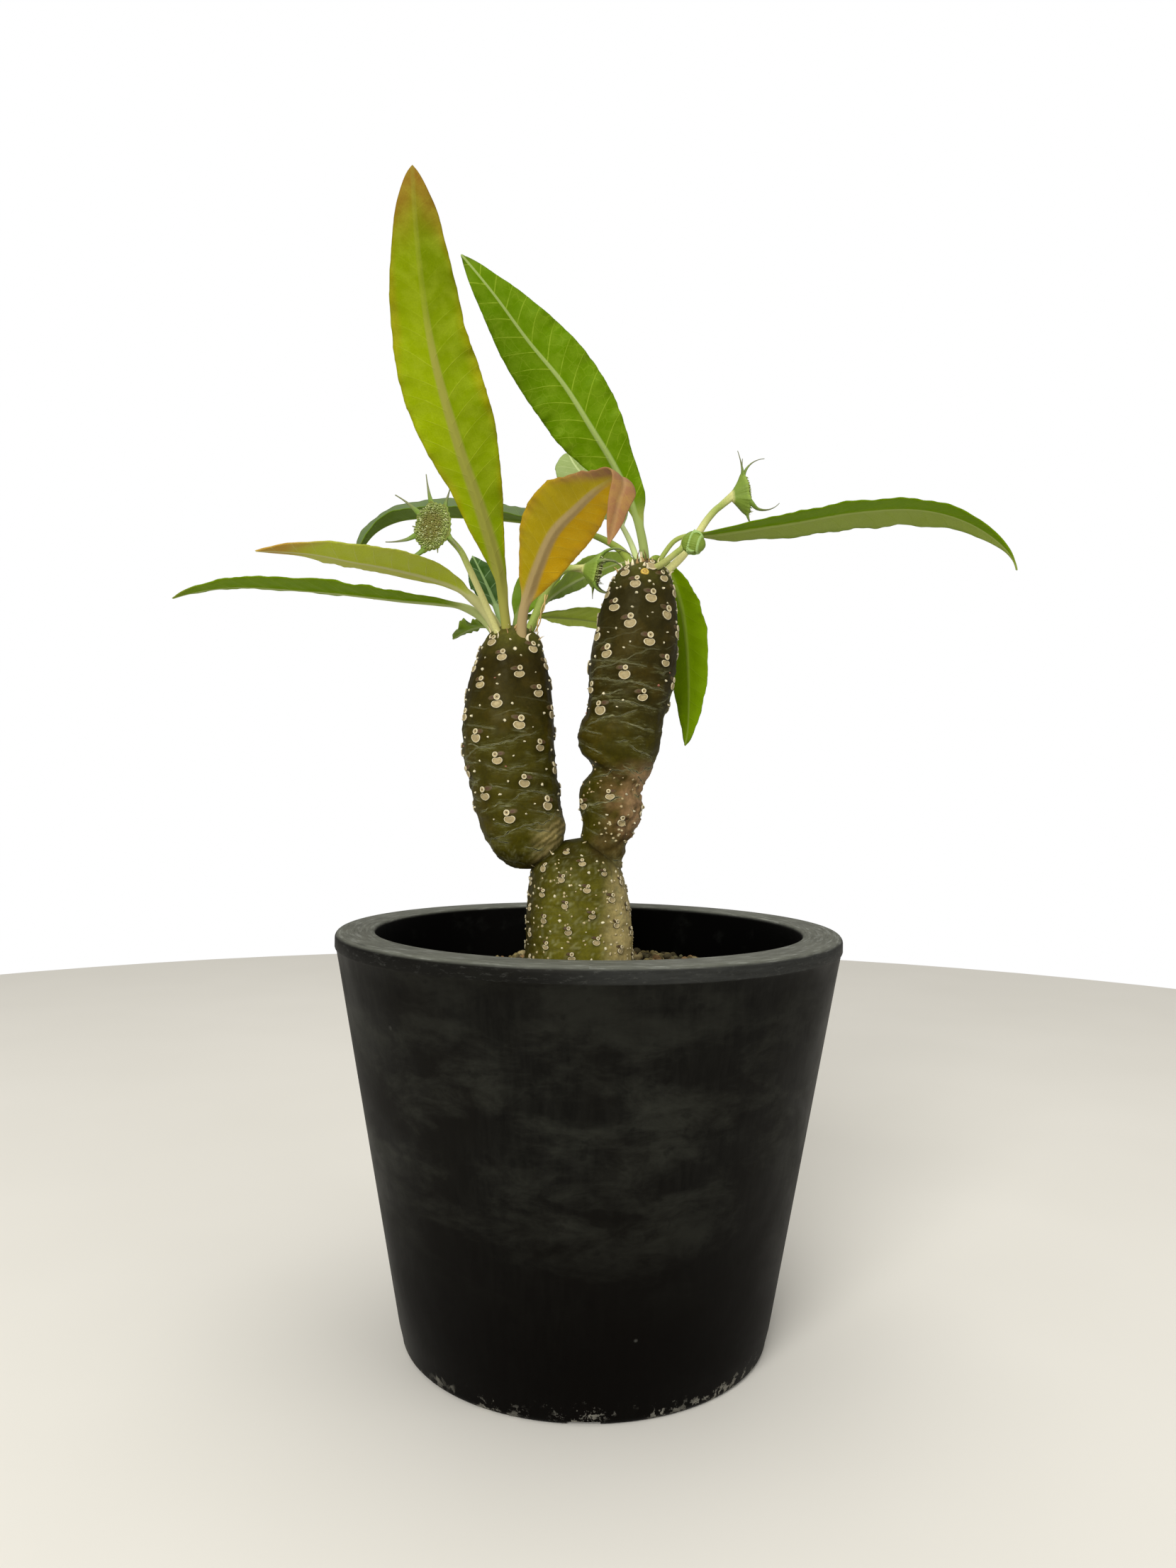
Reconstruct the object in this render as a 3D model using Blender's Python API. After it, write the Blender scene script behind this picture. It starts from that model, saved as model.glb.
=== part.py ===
"""A dorstenia in its nursery pot, in metres, with +Z up.

The origin is the middle of the pot's underside and -Y is the front. Lengths in the tables are in
millimetres, angles in degrees, and MM turns a millimetre into Blender's metre. Angles round a stem are
measured from the front, growing towards +X.
"""

import math
import random

import bmesh
import bpy
import numpy as np
from mathutils import Vector
from mathutils.bvhtree import BVHTree

MM = 0.001
GAP = 0.3

# The pot: a thick-rimmed 12 cm nursery pot with a straight taper
RIM_RADIUS = 60.0
POT_HEIGHT = 96.4
BASE_RADIUS = 43.3
MOUTH_RADIUS = 50.8
RIM_BAND = 3.6
RIM_STEP = 0.35
FLOOR_THICKNESS = 4.0
FLOOR_RADIUS = 38.5
POT_SIDES = 40
DRAIN_HOLE_RADIUS = 3.5
DRAIN_HOLE_REACH = 26.0
DRAIN_SLOT_WIDTH = 7.0
DRAIN_SLOT_DEPTH = 1.0
DRAINS = 4

# The soil: grit filled to 12 mm below the rim, with a plain hole for the stem
SOIL_TOP = 84.0
SOIL_FOOT = FLOOR_THICKNESS + GAP
GRIT_HEIGHT = 0.9
GRIT_RINGS = 7
GRIT_SIDES = 32
HOLE_FLOOR = 71.5
HOLE_RADIUS = 13.7

# The stem: stations of (x, y, z, radius, slope of the ring towards +X), foot to top
TRUNK = (
    (-2.2, 0, 72.0, 11.5, 0),
    (-2.2, 0, 76.0, 12.7, 0),
    (-2.2, 0, 84.0, 13.0, 0),
    (-2.3, 0, 95.8, 12.8, 0),
    (-2.6, 0, 102.0, 12.3, 0),
    (-3.0, 0, 107.5, 11.5, 0),
    (-3.3, 0, 111.8, 10.1, 0),
    (-3.8, 0, 114.6, 8.4, 0),
    (-4.0, 0, 116.4, 5.0, 0),
)
LEFT_ARM = (
    (-14.8, 0, 110.9, 2.2, 0),
    (-15.2, 0, 113.0, 5.6, 0),
    (-15.5, 0, 116.0, 8.2, 0),
    (-16.2, 0, 121.0, 10.1, 0),
    (-17.4, 0, 125.0, 10.5, 0),
    (-18.6, 0, 131.0, 10.8, 0),
    (-19.6, 0, 136.0, 11.1, 0),
    (-20.0, 0, 142.0, 11.2, 0),
    (-20.0, 0, 150.0, 10.9, 0),
    (-19.8, 0, 155.5, 10.0, 0),
    (-19.6, 0, 161.0, 8.6, 0),
    (-19.3, 0, 165.0, 7.1, 0),
    (-19.2, 0, 167.4, 5.4, 0),
    (-19.2, 0, 168.8, 3.0, 0),
)
RIGHT_ARM = (
    (2.3, 0, 110.0, 5.2, 0),
    (3.2, 0, 116.0, 5.5, 0),
    (4.7, 0, 121.0, 6.7, -0.10),
    (5.2, 0, 125.5, 7.6, -0.20),
    (5.5, 0, 129.0, 7.4, -0.35),
    (5.8, 0, 132.2, 5.5, -0.47),
    (6.2, 0, 135.0, 7.9, -0.42),
    (6.3, 0, 138.5, 9.0, -0.30),
    (6.4, 0, 143.5, 9.7, -0.12),
    (8.7, 0, 150.0, 10.1, 0),
    (9.9, 0, 159.3, 10.5, 0),
    (10.8, 0, 169.0, 9.8, 0),
    (11.2, 0, 174.6, 8.9, 0),
    (11.8, 0, 180.0, 7.3, 0),
    (12.3, 0, 183.4, 5.4, 0),
    (12.5, 0, 185.2, 3.0, 0),
)
STEM_SIDES = 16

# Leaf scars wind down each stem, nearly in thirteen columns. Each rule gives the stem, how many, the highest
# scar's height and angle, the turn from one to the next, the drop between them, how much that drop grows
# each time, the most that it can be, and half the scar's width
SCAR_RULES = (
    (LEFT_ARM, 47, 165.0, 100.0, -138.46, 0.70, 0.013, 1.05, 1.30),
    (RIGHT_ARM, 43, 182.8, 16.0, -138.46, 0.52, 0.015, 1.05, 1.30),
    (RIGHT_ARM, 8, 128.0, -4.0, -138.46, 1.15, 0.0, 1.15, 1.10),
    (TRUNK, 37, 114.2, -21.0, -139.2, 0.72, 0.0, 0.72, 1.00),
)
SCAR_RISE = 0.4
SCAR_ROOT = 1.0
SCAR_SIDES = 5

# Leaves: the midrib from the crown to the tip, the way the upper side faces at places spread evenly along it,
# the widest half-width, the share that is bare stalk, where the blade is widest, the powers that shape its base
# and tip, the lift of each half above the midrib's plane, and the wave of the edge
LEAVES = {
    "leaf_left_tall": dict(
        colour="leaf_yellow",
        midrib=((-20.3, -3.0, 166), (-21.2, -6.0, 173.5), (-22.0, -11.0, 180), (-24.9, -21.0, 190.7),
                (-28.9, -32.0, 203.1), (-33.1, -43.0, 219), (-35.1, -51.0, 234.5), (-35.9, -57.0, 249)),
        face=((-0.1, 0.9, 0.3), (-0.1, 0.8, 0.55), (0.0, 0.8, 0.55)),
        width=8.5, stalk=0.06, widest=0.53, powers=(1.4, 0.62), lift=5, wave=0.9, waves=6, rows=24, stalk_radius=1.35),
    "leaf_left_amber": dict(
        colour="leaf_amber",
        midrib=((-16.9, -4.4, 165), (-16.2, -8.5, 171.5), (-14.4, -13.0, 175.6), (-12.4, -19.5, 179.4),
                (-8.7, -31.0, 184.6), (-3.6, -43.0, 187.2), (1.2, -55.0, 188.9), (4.6, -62.5, 189.3),
                (5.4, -67.0, 184.4), (3.9, -69.0, 177.5), (2.5, -69.5, 174.3)),
        face=((0.2, 0.8, 0.5), (0.4, 0.5, 0.7), (0.4, 0.4, 0.75), (0.5, -0.1, 0.85), (0.3, -0.9, 0.2)),
        width=7.4, stalk=0.07, widest=0.42, powers=(1.0, 0.75), lift=4, wave=0.55, waves=6, rows=24, stalk_radius=1.35),
    "leaf_left_blush": dict(
        colour="leaf_yellow",
        midrib=((-22.3, -0.6, 166.5), (-25.8, -2.8, 172.2), (-31.6, -8.0, 176.6), (-37.4, -13.0, 178.2),
                (-47.0, -22.5, 179.0), (-52.2, -27.5, 179.4), (-60.0, -34.0, 179.9), (-69.8, -40.0, 178.9)),
        face=((-0.2, 0.2, 0.95), (-0.09, 0.14, 0.98), (-0.09, 0.14, 0.98)),
        width=6.9, stalk=0.16, widest=0.50, powers=(1.3, 0.75), lift=8, wave=0.6, waves=6, rows=20, stalk_radius=1.1),
    "leaf_left_long": dict(
        colour="leaf_green",
        midrib=((-22.8, 2.0, 165.8), (-26.8, 1.6, 171.2), (-32.0, 0.2, 174.0), (-47.0, -2.0, 175.4),
                (-67.0, -4.0, 176.9), (-86.5, -7.0, 176.9), (-98.3, -9.0, 173.4)),
        face=((-0.25, 0.0, 0.97), (0.0, 0.04, 1.0), (0.0, 0.04, 1.0)),
        width=7.8, stalk=0.12, widest=0.52, powers=(1.3, 0.75), lift=7, wave=0.5, waves=7, rows=22, stalk_radius=1.1),
    "leaf_left_young": dict(
        colour="leaf_green",
        midrib=((-21.3, 1.0, 167.5), (-23.0, 3.6, 172.4), (-25.0, 7.0, 177.0), (-27.6, 10.5, 182.6),
                (-30.6, 13.5, 188.5)),
        face=((0.2, -0.8, 0.55), (0.2, -0.8, 0.55)),
        width=4.4, stalk=0.30, widest=0.42, powers=(1.2, 0.75), lift=8, wave=0.3, waves=4, rows=10, stalk_radius=0.9),
    "leaf_left_small": dict(
        colour="leaf_green",
        midrib=((-21.6, 3.9, 166.6), (-24.0, 7.4, 169.3), (-27.2, 11.0, 170.3), (-31.5, 15.5, 169.9),
                (-36.2, 21.0, 168.0)),
        face=((-0.3, -0.1, 0.9), (0.0, 0.1, 1.0), (0.0, 0.1, 1.0)),
        width=3.4, stalk=0.25, widest=0.40, powers=(1.2, 0.75), lift=8, wave=0.4, waves=4, rows=10, stalk_radius=0.9),
    "leaf_left_middle": dict(
        colour="leaf_green",
        midrib=((-18.4, 1.3, 167.6), (-17.9, 4.6, 172.8), (-16.6, 9.0, 178.0), (-13.4, 17.0, 185.5),
                (-9.0, 25.5, 192.5), (-4.8, 32.5, 197.5)),
        face=((0.3, -0.8, 0.5), (0.2, -0.6, 0.8), (0.2, -0.5, 0.85)),
        width=5.0, stalk=0.18, widest=0.42, powers=(1.2, 0.75), lift=8, wave=0.5, waves=5, rows=14, stalk_radius=1.0),
    "leaf_left_rear": dict(
        colour="leaf_green",
        midrib=((-16.2, 2.4, 166.6), (-14.6, 5.4, 171.6), (-12.2, 9.5, 176.6), (-8.6, 15.0, 180.6),
                (-3.4, 21.5, 184.8), (2.0, 27.5, 188.4), (7.0, 33.0, 191.2), (11.6, 37.5, 192.6)),
        face=((-0.3, 0.1, 0.9), (-0.6, 0.45, 0.6), (-0.6, 0.45, 0.6)),
        width=6.4, stalk=0.15, widest=0.46, powers=(0.9, 0.75), lift=3, wave=0.6, waves=6, rows=16, stalk_radius=1.1),
    "leaf_left_low": dict(
        colour="leaf_green",
        midrib=((-18.6, 3.8, 166.8), (-17.4, 8.0, 171.2), (-13.6, 13.0, 173.2), (-6.8, 20.0, 174.0),
                (2.0, 27.5, 174.0), (9.0, 33.0, 173.2), (15.0, 37.5, 171.4)),
        face=((-0.2, -0.4, 0.9), (-0.05, 0.3, 0.95), (0.0, 0.3, 0.95)),
        width=6.2, stalk=0.16, widest=0.46, powers=(1.2, 0.75), lift=4, wave=0.5, waves=6, rows=16, stalk_radius=1.0),
    "leaf_right_tall": dict(
        colour="leaf_green",
        midrib=((12.5, -1.2, 183.2), (11.8, -3.6, 188.6), (9.2, -8.0, 196.4), (4.6, -12.0, 205),
                (-0.2, -15.2, 212), (-6.8, -18.2, 221.2), (-14.6, -21.2, 229.8), (-22.2, -24.0, 239),
                (-29.5, -26.0, 246.5)),
        face=((0.2, 0.9, 0.3), (0.05, 0.97, 0.2), (0.05, 0.97, 0.2)),
        width=8.7, stalk=0.14, widest=0.44, powers=(1.3, 0.75), lift=5, wave=0.9, waves=7, rows=22, stalk_radius=1.2),
    "leaf_right_level": dict(
        colour="leaf_green",
        midrib=((14.9, -1.0, 182.6), (18.2, -2.2, 186.4), (22.2, -3.6, 189.2), (27.0, -5.0, 191.3),
                (46.5, -8.0, 193.3), (61.0, -9.5, 195.6), (74.5, -10.0, 196.6), (83.5, -10.0, 194.4),
                (91.0, -10.0, 190.3), (96.5, -10.0, 185.0), (98.6, -10.0, 179.8)),
        face=((-0.5, 0.0, 0.85), (0.0, 0.16, 0.98), (0.1, 0.16, 0.98), (0.8, 0.2, 0.6)),
        width=8.4, stalk=0.08, widest=0.46, powers=(0.8, 1.3), lift=-8, wave=0.6, waves=7, rows=26, stalk_radius=1.15),
    "leaf_right_drooping": dict(
        colour="leaf_green",
        midrib=((13.5, 3.0, 183.0), (15.2, 7.4, 187.2), (17.8, 12.4, 187.6), (20.6, 16.6, 184.2),
                (22.8, 19.2, 177.5), (24.0, 20.2, 169.5), (25.2, 20.2, 161.5), (25.6, 18.6, 152.0),
                (24.8, 15.8, 144.8), (24.0, 14.2, 141.2)),
        face=((-0.3, -0.3, 0.9), (0.4, 0.5, 0.75), (0.5, 0.85, 0.15), (0.45, 0.88, -0.1), (0.45, 0.88, -0.1)),
        width=6.0, stalk=0.10, widest=0.52, powers=(1.3, 0.75), lift=6, wave=0.7, waves=6, rows=20, stalk_radius=1.1),
    "leaf_right_far_left": dict(
        colour="leaf_green",
        midrib=((9.6, 0.3, 183.2), (7.6, 4.4, 187.8), (4.4, 10.0, 191.4), (-0.4, 16.5, 195.0),
                (-7.4, 22.6, 198.0), (-20.8, 28.6, 201.0), (-35.9, 31.0, 202.4), (-45.3, 30.5, 202.2),
                (-52.5, 28.5, 199.8), (-58.0, 25.6, 195.6), (-61.0, 23.2, 190.6), (-61.6, 22.0, 186.4)),
        face=((0.2, -0.3, 0.9), (0.0, -0.3, 0.95), (0.0, -0.35, 0.93), (-0.85, -0.3, 0.4)),
        width=7.6, stalk=0.20, widest=0.58, powers=(1.3, 0.75), lift=26, wave=0.6, waves=7, rows=22, stalk_radius=1.1),
    "leaf_right_pale": dict(
        colour="leaf_green",
        midrib=((11.1, 2.4, 184.0), (9.8, 6.9, 189.7), (8.2, 11.6, 194.4), (7.0, 17.0, 198.8),
                (4.2, 27.0, 207.8), (-0.8, 37.0, 216.6), (-5.4, 44.0, 222.4), (-8.9, 48.0, 226.2)),
        face=((0.1, -0.8, 0.6), (-0.1, -0.65, 0.75), (-0.1, -0.65, 0.75)),
        width=6.4, stalk=0.25, widest=0.42, powers=(1.2, 0.75), lift=6, wave=0.6, waves=6, rows=16, stalk_radius=0.75),
}
BLADE_THICKNESS = 0.65
RIB_DEPTH = 0.8
STALK_ROWS = 3
COLUMNS = (-1.0, -0.5, 0.0, 0.5, 1.0)

# Blooms: the stalk from the crown to the back of the head, the way the flat face looks, its half-width across
# and up, and the arms round it as (angle in the face, length, lean towards the front)
BLOOMS = {
    "bloom_left_open": dict(
        stalk=((-22.2, -3.2, 166.0), (-24.6, -6.5, 171.5), (-26.4, -10.0, 175.6), (-28.6, -14.5, 180.4),
               (-30.2, -16.8, 183.6), (-32.8, -17.6, 186.4)),
        centre=(-35.6, -19.0, 187.9), facing=(-0.55, -0.83, 0.05), across=5.3, up=5.5,
        arms=((103, 9.5, 4), (138, 10.5, 0), (172, 2.5, 0), (203, 8.5, -5), (230, 8.0, 48), (275, 3.0, 0),
              (325, 4.5, -10), (48, 6.5, -15))),
    "bloom_left_side": dict(
        stalk=((-15.8, -0.3, 166.4), (-13.6, 1.6, 172.4), (-11.9, 2.6, 177.0), (-9.6, 3.2, 181.0),
               (-7.3, 3.5, 183.4), (-4.6, 3.7, 184.3)),
        centre=(0.2, 3.8, 184.0), facing=(0.95, -0.25, -0.15), across=3.3, up=3.9,
        arms=((90, 6.5, 65), (150, 4.0, 50), (25, 3.5, 50), (215, 4.5, 65), (270, 2.2, 5), (320, 3.5, 50))),
    "bloom_right_tall": dict(
        stalk=((16.0, 1.7, 181.6), (18.8, 2.6, 184.0), (22.2, 4.0, 187.2), (26.4, 6.0, 193.4),
               (29.2, 7.6, 197.8), (31.6, 8.8, 200.8), (33.6, 9.6, 202.6)),
        centre=(38.6, 11.2, 204.8), facing=(0.93, 0.20, 0.12), across=3.4, up=5.2,
        arms=((93, 6.0, -8), (76, 5.5, 5), (104, 7.0, 30), (35, 5.0, 10), (218, 7.5, 58), (268, 5.0, 18),
              (320, 4.0, 30))),
    "bloom_right_young": dict(
        stalk=((14.2, -3.3, 182.6), (15.0, -6.0, 185.6), (16.2, -8.6, 187.8), (17.8, -10.6, 189.2),
               (19.4, -11.6, 189.5)),
        centre=(22.0, -12.2, 188.5), facing=(0.90, -0.32, -0.28), across=2.5, up=2.6,
        arms=((90, 3.4, 78), (162, 2.6, 72), (234, 2.2, 70), (306, 2.2, 70), (18, 2.6, 72))),
}
BLOOM_SIDES = 10
FLORET_RISE = 0.35
ARM_RADIUS = 0.85
ARM_TIP_RADIUS = 0.33
ARM_CORNERS = ((1, -0.6), (-1, -0.6), (0, 1.0))

COLOURS = {
    "pot": ((0.020, 0.020, 0.019), 0.55),
    "soil": ((0.10, 0.075, 0.05), 0.95),
    "stem": ((0.075, 0.070, 0.020), 0.6),
    "leaf_green": ((0.11, 0.24, 0.015), 0.5),
    "leaf_yellow": ((0.28, 0.36, 0.02), 0.5),
    "leaf_amber": ((0.45, 0.28, 0.02), 0.55),
    "bloom": ((0.22, 0.27, 0.09), 0.7),
}


def clear_scene():
    for obj in list(bpy.data.objects):
        bpy.data.objects.remove(obj, do_unlink=True)


def material(name):
    """The Principled material of this name, made once."""
    found = bpy.data.materials.get(name)
    if found:
        return found
    colour, roughness = COLOURS[name]
    made = bpy.data.materials.new(name)
    made.use_nodes = True
    shader = made.node_tree.nodes["Principled BSDF"]
    shader.inputs["Base Color"].default_value = (*colour, 1.0)
    shader.inputs["Roughness"].default_value = roughness
    shader.inputs["Metallic"].default_value = 0.0
    made.diffuse_color = (*colour, 1.0)
    return made


def add_object(name, points, faces, colour):
    """A mesh object from points in millimetres, smooth shaded with its sharp edges kept."""
    mesh = bpy.data.meshes.new(name)
    mesh.from_pydata((np.asarray(points, float) * MM).tolist(), [], faces)
    mesh.materials.append(material(colour))
    mesh.shade_smooth()
    mesh.set_sharp_from_angle(angle=math.radians(40))
    obj = bpy.data.objects.new(name, mesh)
    bpy.context.scene.collection.objects.link(obj)
    return obj


def unit(vector):
    return vector / np.linalg.norm(vector)


def smooth_curve(points, shares):
    """Places and directions at these shares of the length of a smooth curve through the points."""
    points = np.array(points, float)
    steps = np.sqrt(np.linalg.norm(np.diff(points, axis=0), axis=1))
    knots = np.concatenate([[0], np.cumsum(steps)])
    slopes = np.gradient(points, knots, axis=0, edge_order=2)
    t = np.linspace(0, knots[-1], 400)
    i = np.clip(np.searchsorted(knots, t, side="right") - 1, 0, len(knots) - 2)
    span = (knots[i + 1] - knots[i])[:, None]
    u = (t[:, None] - knots[i][:, None]) / span
    curve = (
        (2 * u**3 - 3 * u**2 + 1) * points[i]
        + (u**3 - 2 * u**2 + u) * span * slopes[i]
        + (3 * u**2 - 2 * u**3) * points[i + 1]
        + (u**3 - u**2) * span * slopes[i + 1]
    )
    length = np.concatenate([[0], np.cumsum(np.linalg.norm(np.diff(curve, axis=0), axis=1))])
    at = np.asarray(shares) * length[-1]
    places = np.stack([np.interp(at, length, curve[:, k]) for k in range(3)], axis=1)
    ahead = np.stack([np.interp(at + 0.3, length, curve[:, k]) for k in range(3)], axis=1)
    behind = np.stack([np.interp(at - 0.3, length, curve[:, k]) for k in range(3)], axis=1)
    return places, np.array([unit(step) for step in ahead - behind]), length[-1]


def ring_faces(rings, sides):
    """Triangles between rings of points, each quad split the same way."""
    faces = []
    for i in range(rings - 1):
        for j in range(sides):
            a, b = i * sides + j, i * sides + (j + 1) % sides
            c, d = b + sides, a + sides
            faces += [(a, b, c), (a, c, d)]
    return faces


def closed_loft(name, rings, foot, top, colour):
    """A closed solid through rings of points, with a fan at each end to a foot and a top point."""
    sides = len(rings[0])
    points = [p for ring in rings for p in ring] + [foot, top]
    faces = ring_faces(len(rings), sides)
    last = (len(rings) - 1) * sides
    foot_at, top_at = len(points) - 2, len(points) - 1
    for j in range(sides):
        k = (j + 1) % sides
        faces += [(foot_at, k, j), (top_at, last + j, last + k)]
    return add_object(name, points, faces, colour)


def fuse(base, extras, solver="EXACT"):
    """Joins the extra objects to the base as one body by a Boolean union, and removes them."""
    group = bpy.data.collections.new("extras")
    bpy.context.scene.collection.children.link(group)
    for extra in extras:
        bpy.context.scene.collection.objects.unlink(extra)
        group.objects.link(extra)
    union = base.modifiers.new("Union", "BOOLEAN")
    union.operation = "UNION"
    union.operand_type = "COLLECTION"
    union.collection = group
    union.solver = solver
    graph = bpy.context.evaluated_depsgraph_get()
    joined = bpy.data.meshes.new_from_object(base.evaluated_get(graph))
    base.modifiers.clear()
    base.data = joined
    for extra in extras:
        bpy.data.objects.remove(extra, do_unlink=True)
    bpy.data.collections.remove(group)
    joined.shade_smooth()
    joined.set_sharp_from_angle(angle=math.radians(40))


def pot_profile():
    """The pot's outline as (radius, height), from the middle of the underside out, up, over the rim and in."""
    band_foot = POT_HEIGHT - RIM_BAND
    slope = (RIM_RADIUS - RIM_STEP - BASE_RADIUS) / band_foot
    rim_round = 1.4
    return [
        (0, 0),
        (BASE_RADIUS - 1.6, 0),
        (BASE_RADIUS - 0.3, 0.5),
        (BASE_RADIUS + slope * 1.8, 1.8),
        (RIM_RADIUS - RIM_STEP, band_foot - 0.2),
        (RIM_RADIUS, band_foot + 0.3),
        (RIM_RADIUS, POT_HEIGHT - rim_round),
        (RIM_RADIUS - 0.4 * rim_round, POT_HEIGHT - 0.35 * rim_round),
        (RIM_RADIUS - rim_round, POT_HEIGHT),
        (MOUTH_RADIUS + 0.9, POT_HEIGHT),
        (MOUTH_RADIUS, POT_HEIGHT - 0.9),
        (inner_radius(SOIL_TOP), SOIL_TOP),
        (FLOOR_RADIUS, FLOOR_THICKNESS),
        (0, FLOOR_THICKNESS),
    ]


def inner_radius(height):
    """The radius of the pot's inner wall, which tapers from the mouth to the floor."""
    mouth_height = POT_HEIGHT - 0.9
    share = (height - FLOOR_THICKNESS) / (mouth_height - FLOOR_THICKNESS)
    return FLOOR_RADIUS + (MOUTH_RADIUS - FLOOR_RADIUS) * share


def make_pot():
    build = bmesh.new()
    chain = [build.verts.new((r * MM, 0, z * MM)) for r, z in pot_profile()]
    for a, b in zip(chain, chain[1:]):
        build.edges.new((a, b))
    bmesh.ops.spin(
        build, geom=build.verts[:] + build.edges[:], cent=(0, 0, 0), axis=(0, 0, 1),
        angle=math.tau, steps=POT_SIDES, use_merge=True)
    bmesh.ops.remove_doubles(build, verts=build.verts, dist=0.00001)
    bmesh.ops.recalc_face_normals(build, faces=build.faces)
    mesh = bpy.data.meshes.new("pot")
    build.to_mesh(mesh)
    build.free()
    mesh.materials.append(material("pot"))
    mesh.shade_smooth()
    mesh.set_sharp_from_angle(angle=math.radians(30))
    pot = bpy.data.objects.new("pot", mesh)
    bpy.context.scene.collection.objects.link(pot)
    for k in range(DRAINS):
        turn = math.tau * k / DRAINS
        cut_drain(pot, turn)
    return pot


def cut_drain(pot, turn):
    """A round hole through the floor, and a shallow slot under the base from it to the edge."""
    away = Vector((math.sin(turn), -math.cos(turn), 0)) * MM
    bpy.ops.mesh.primitive_cylinder_add(
        vertices=12, radius=DRAIN_HOLE_RADIUS * MM, depth=12 * MM, location=away * DRAIN_HOLE_REACH)
    hole = bpy.context.active_object
    slot_length = BASE_RADIUS - DRAIN_HOLE_REACH + 6
    bpy.ops.mesh.primitive_cube_add(
        size=MM, location=away * (DRAIN_HOLE_REACH + slot_length / 2), rotation=(0, 0, turn))
    slot = bpy.context.active_object
    slot.scale = (DRAIN_SLOT_WIDTH, slot_length, 2 * DRAIN_SLOT_DEPTH)
    for cutter, kind in ((hole, "hole"), (slot, "slot")):
        cutter.name = f"drain_{kind}_cutter_{round(math.degrees(turn))}"
        cutter.hide_render = True
        cutter.display_type = "WIRE"
        cut = pot.modifiers.new(cutter.name, "BOOLEAN")
        cut.operation = "DIFFERENCE"
        cut.object = cutter


def make_soil():
    """Grit that fills the pot: rings of points spread from the stem's hole to the wall, raised at random."""
    draw = random.Random(11)
    hole_x, hole_y = TRUNK[0][0], TRUNK[0][1]
    angles = [math.tau * k / GRIT_SIDES for k in range(GRIT_SIDES)]

    def ring(share, height, uneven):
        points = []
        outer = inner_radius(height) - GAP * 1.5
        for angle in angles:
            across, along = math.sin(angle), -math.cos(angle)
            x = (1 - share) * (hole_x + HOLE_RADIUS * across) + share * outer * across
            y = (1 - share) * (hole_y + HOLE_RADIUS * along) + share * outer * along
            points.append((x, y, height + draw.uniform(-uneven, uneven)))
        return points

    rings = [ring(0, HOLE_FLOOR, 0)]
    for k in range(GRIT_RINGS + 1):
        rings.append(ring(k / GRIT_RINGS, SOIL_TOP, GRIT_HEIGHT))
    rings.append(ring(1, SOIL_FOOT, 0))
    rings.reverse()
    return closed_loft("soil", rings, (0, 0, SOIL_FOOT), (hole_x, hole_y, HOLE_FLOOR), "soil")


def stem_at(stations, height):
    """The stem's middle, radius and ring slope at a height, eased between its stations."""
    table = np.array(stations, float)
    slopes = np.gradient(table, table[:, 2], axis=0)
    i = int(np.clip(np.searchsorted(table[:, 2], height) - 1, 0, len(table) - 2))
    span = table[i + 1, 2] - table[i, 2]
    u = min(max((height - table[i, 2]) / span, 0), 1)
    here = (
        (2 * u**3 - 3 * u**2 + 1) * table[i]
        + (u**3 - 2 * u**2 + u) * span * slopes[i]
        + (3 * u**2 - 2 * u**3) * table[i + 1]
        + (u**3 - u**2) * span * slopes[i + 1]
    )
    return here[:3], here[3], here[4]


def stem_point(stations, height, angle):
    """A point of the stem's side and the way the side faces there. The angle is in radians, from the front."""
    middle, radius, slope = stem_at(stations, height)
    across = np.array([math.sin(angle), -math.cos(angle), slope * math.sin(angle)])
    point = middle + radius * across
    below, above = stem_at(stations, height - 0.5), stem_at(stations, height + 0.5)
    growth = (above[1] - below[1]) + float((above[0] - below[0])[:2] @ across[:2])
    facing = unit(np.array([across[0], across[1], -growth]))
    return point, facing


def stem_tube(name, stations):
    """One arm or the trunk as a closed tube, with its foot and its crown rounded off by a point."""
    heights = [station[2] for station in stations]
    middles = [(a + b) / 2 for a, b in zip(heights, heights[1:]) if b - a > 7]
    heights = sorted(heights + middles)
    rings = []
    for height in heights:
        ring = [stem_point(stations, height, math.tau * k / STEM_SIDES)[0] for k in range(STEM_SIDES)]
        rings.append(ring)
    foot = np.array(stations[0][:3]) - (0, 0, 0.3)
    top = np.array(stations[-1][:3]) + (0, 0, 0.6)
    return closed_loft(name, rings, foot, top, "stem")


def scar(point, facing, half_width):
    """A low plug with a flat oval top, sunk in the stem's side."""
    along = unit(np.array([0, 0, 1.0]) - facing * facing[2])
    across = np.cross(along, facing)
    points = []
    for lift, share in ((-SCAR_ROOT, 1.0), (SCAR_RISE, 0.86)):
        for k in range(SCAR_SIDES):
            angle = math.tau * k / SCAR_SIDES + math.pi / 2
            spread = across * math.cos(angle) + along * 0.8 * math.sin(angle)
            points.append(point + facing * lift + spread * half_width * share)
    top = tuple(range(SCAR_SIDES, 2 * SCAR_SIDES))
    foot = tuple(reversed(range(SCAR_SIDES)))
    sides = [(k, (k + 1) % SCAR_SIDES, (k + 1) % SCAR_SIDES + SCAR_SIDES, k + SCAR_SIDES)
             for k in range(SCAR_SIDES)]
    return add_object("scar", points, [top, foot, *sides], "stem")


def scar_places():
    """The point, facing and half-width of every leaf scar, by its stem's rule."""
    for stations, count, height, angle, turn, drop, growth, most, half_width in SCAR_RULES:
        for k in range(count):
            yield (*stem_point(stations, height, math.radians(angle)), half_width)
            height -= min(drop + growth * k, most)
            angle += turn


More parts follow.
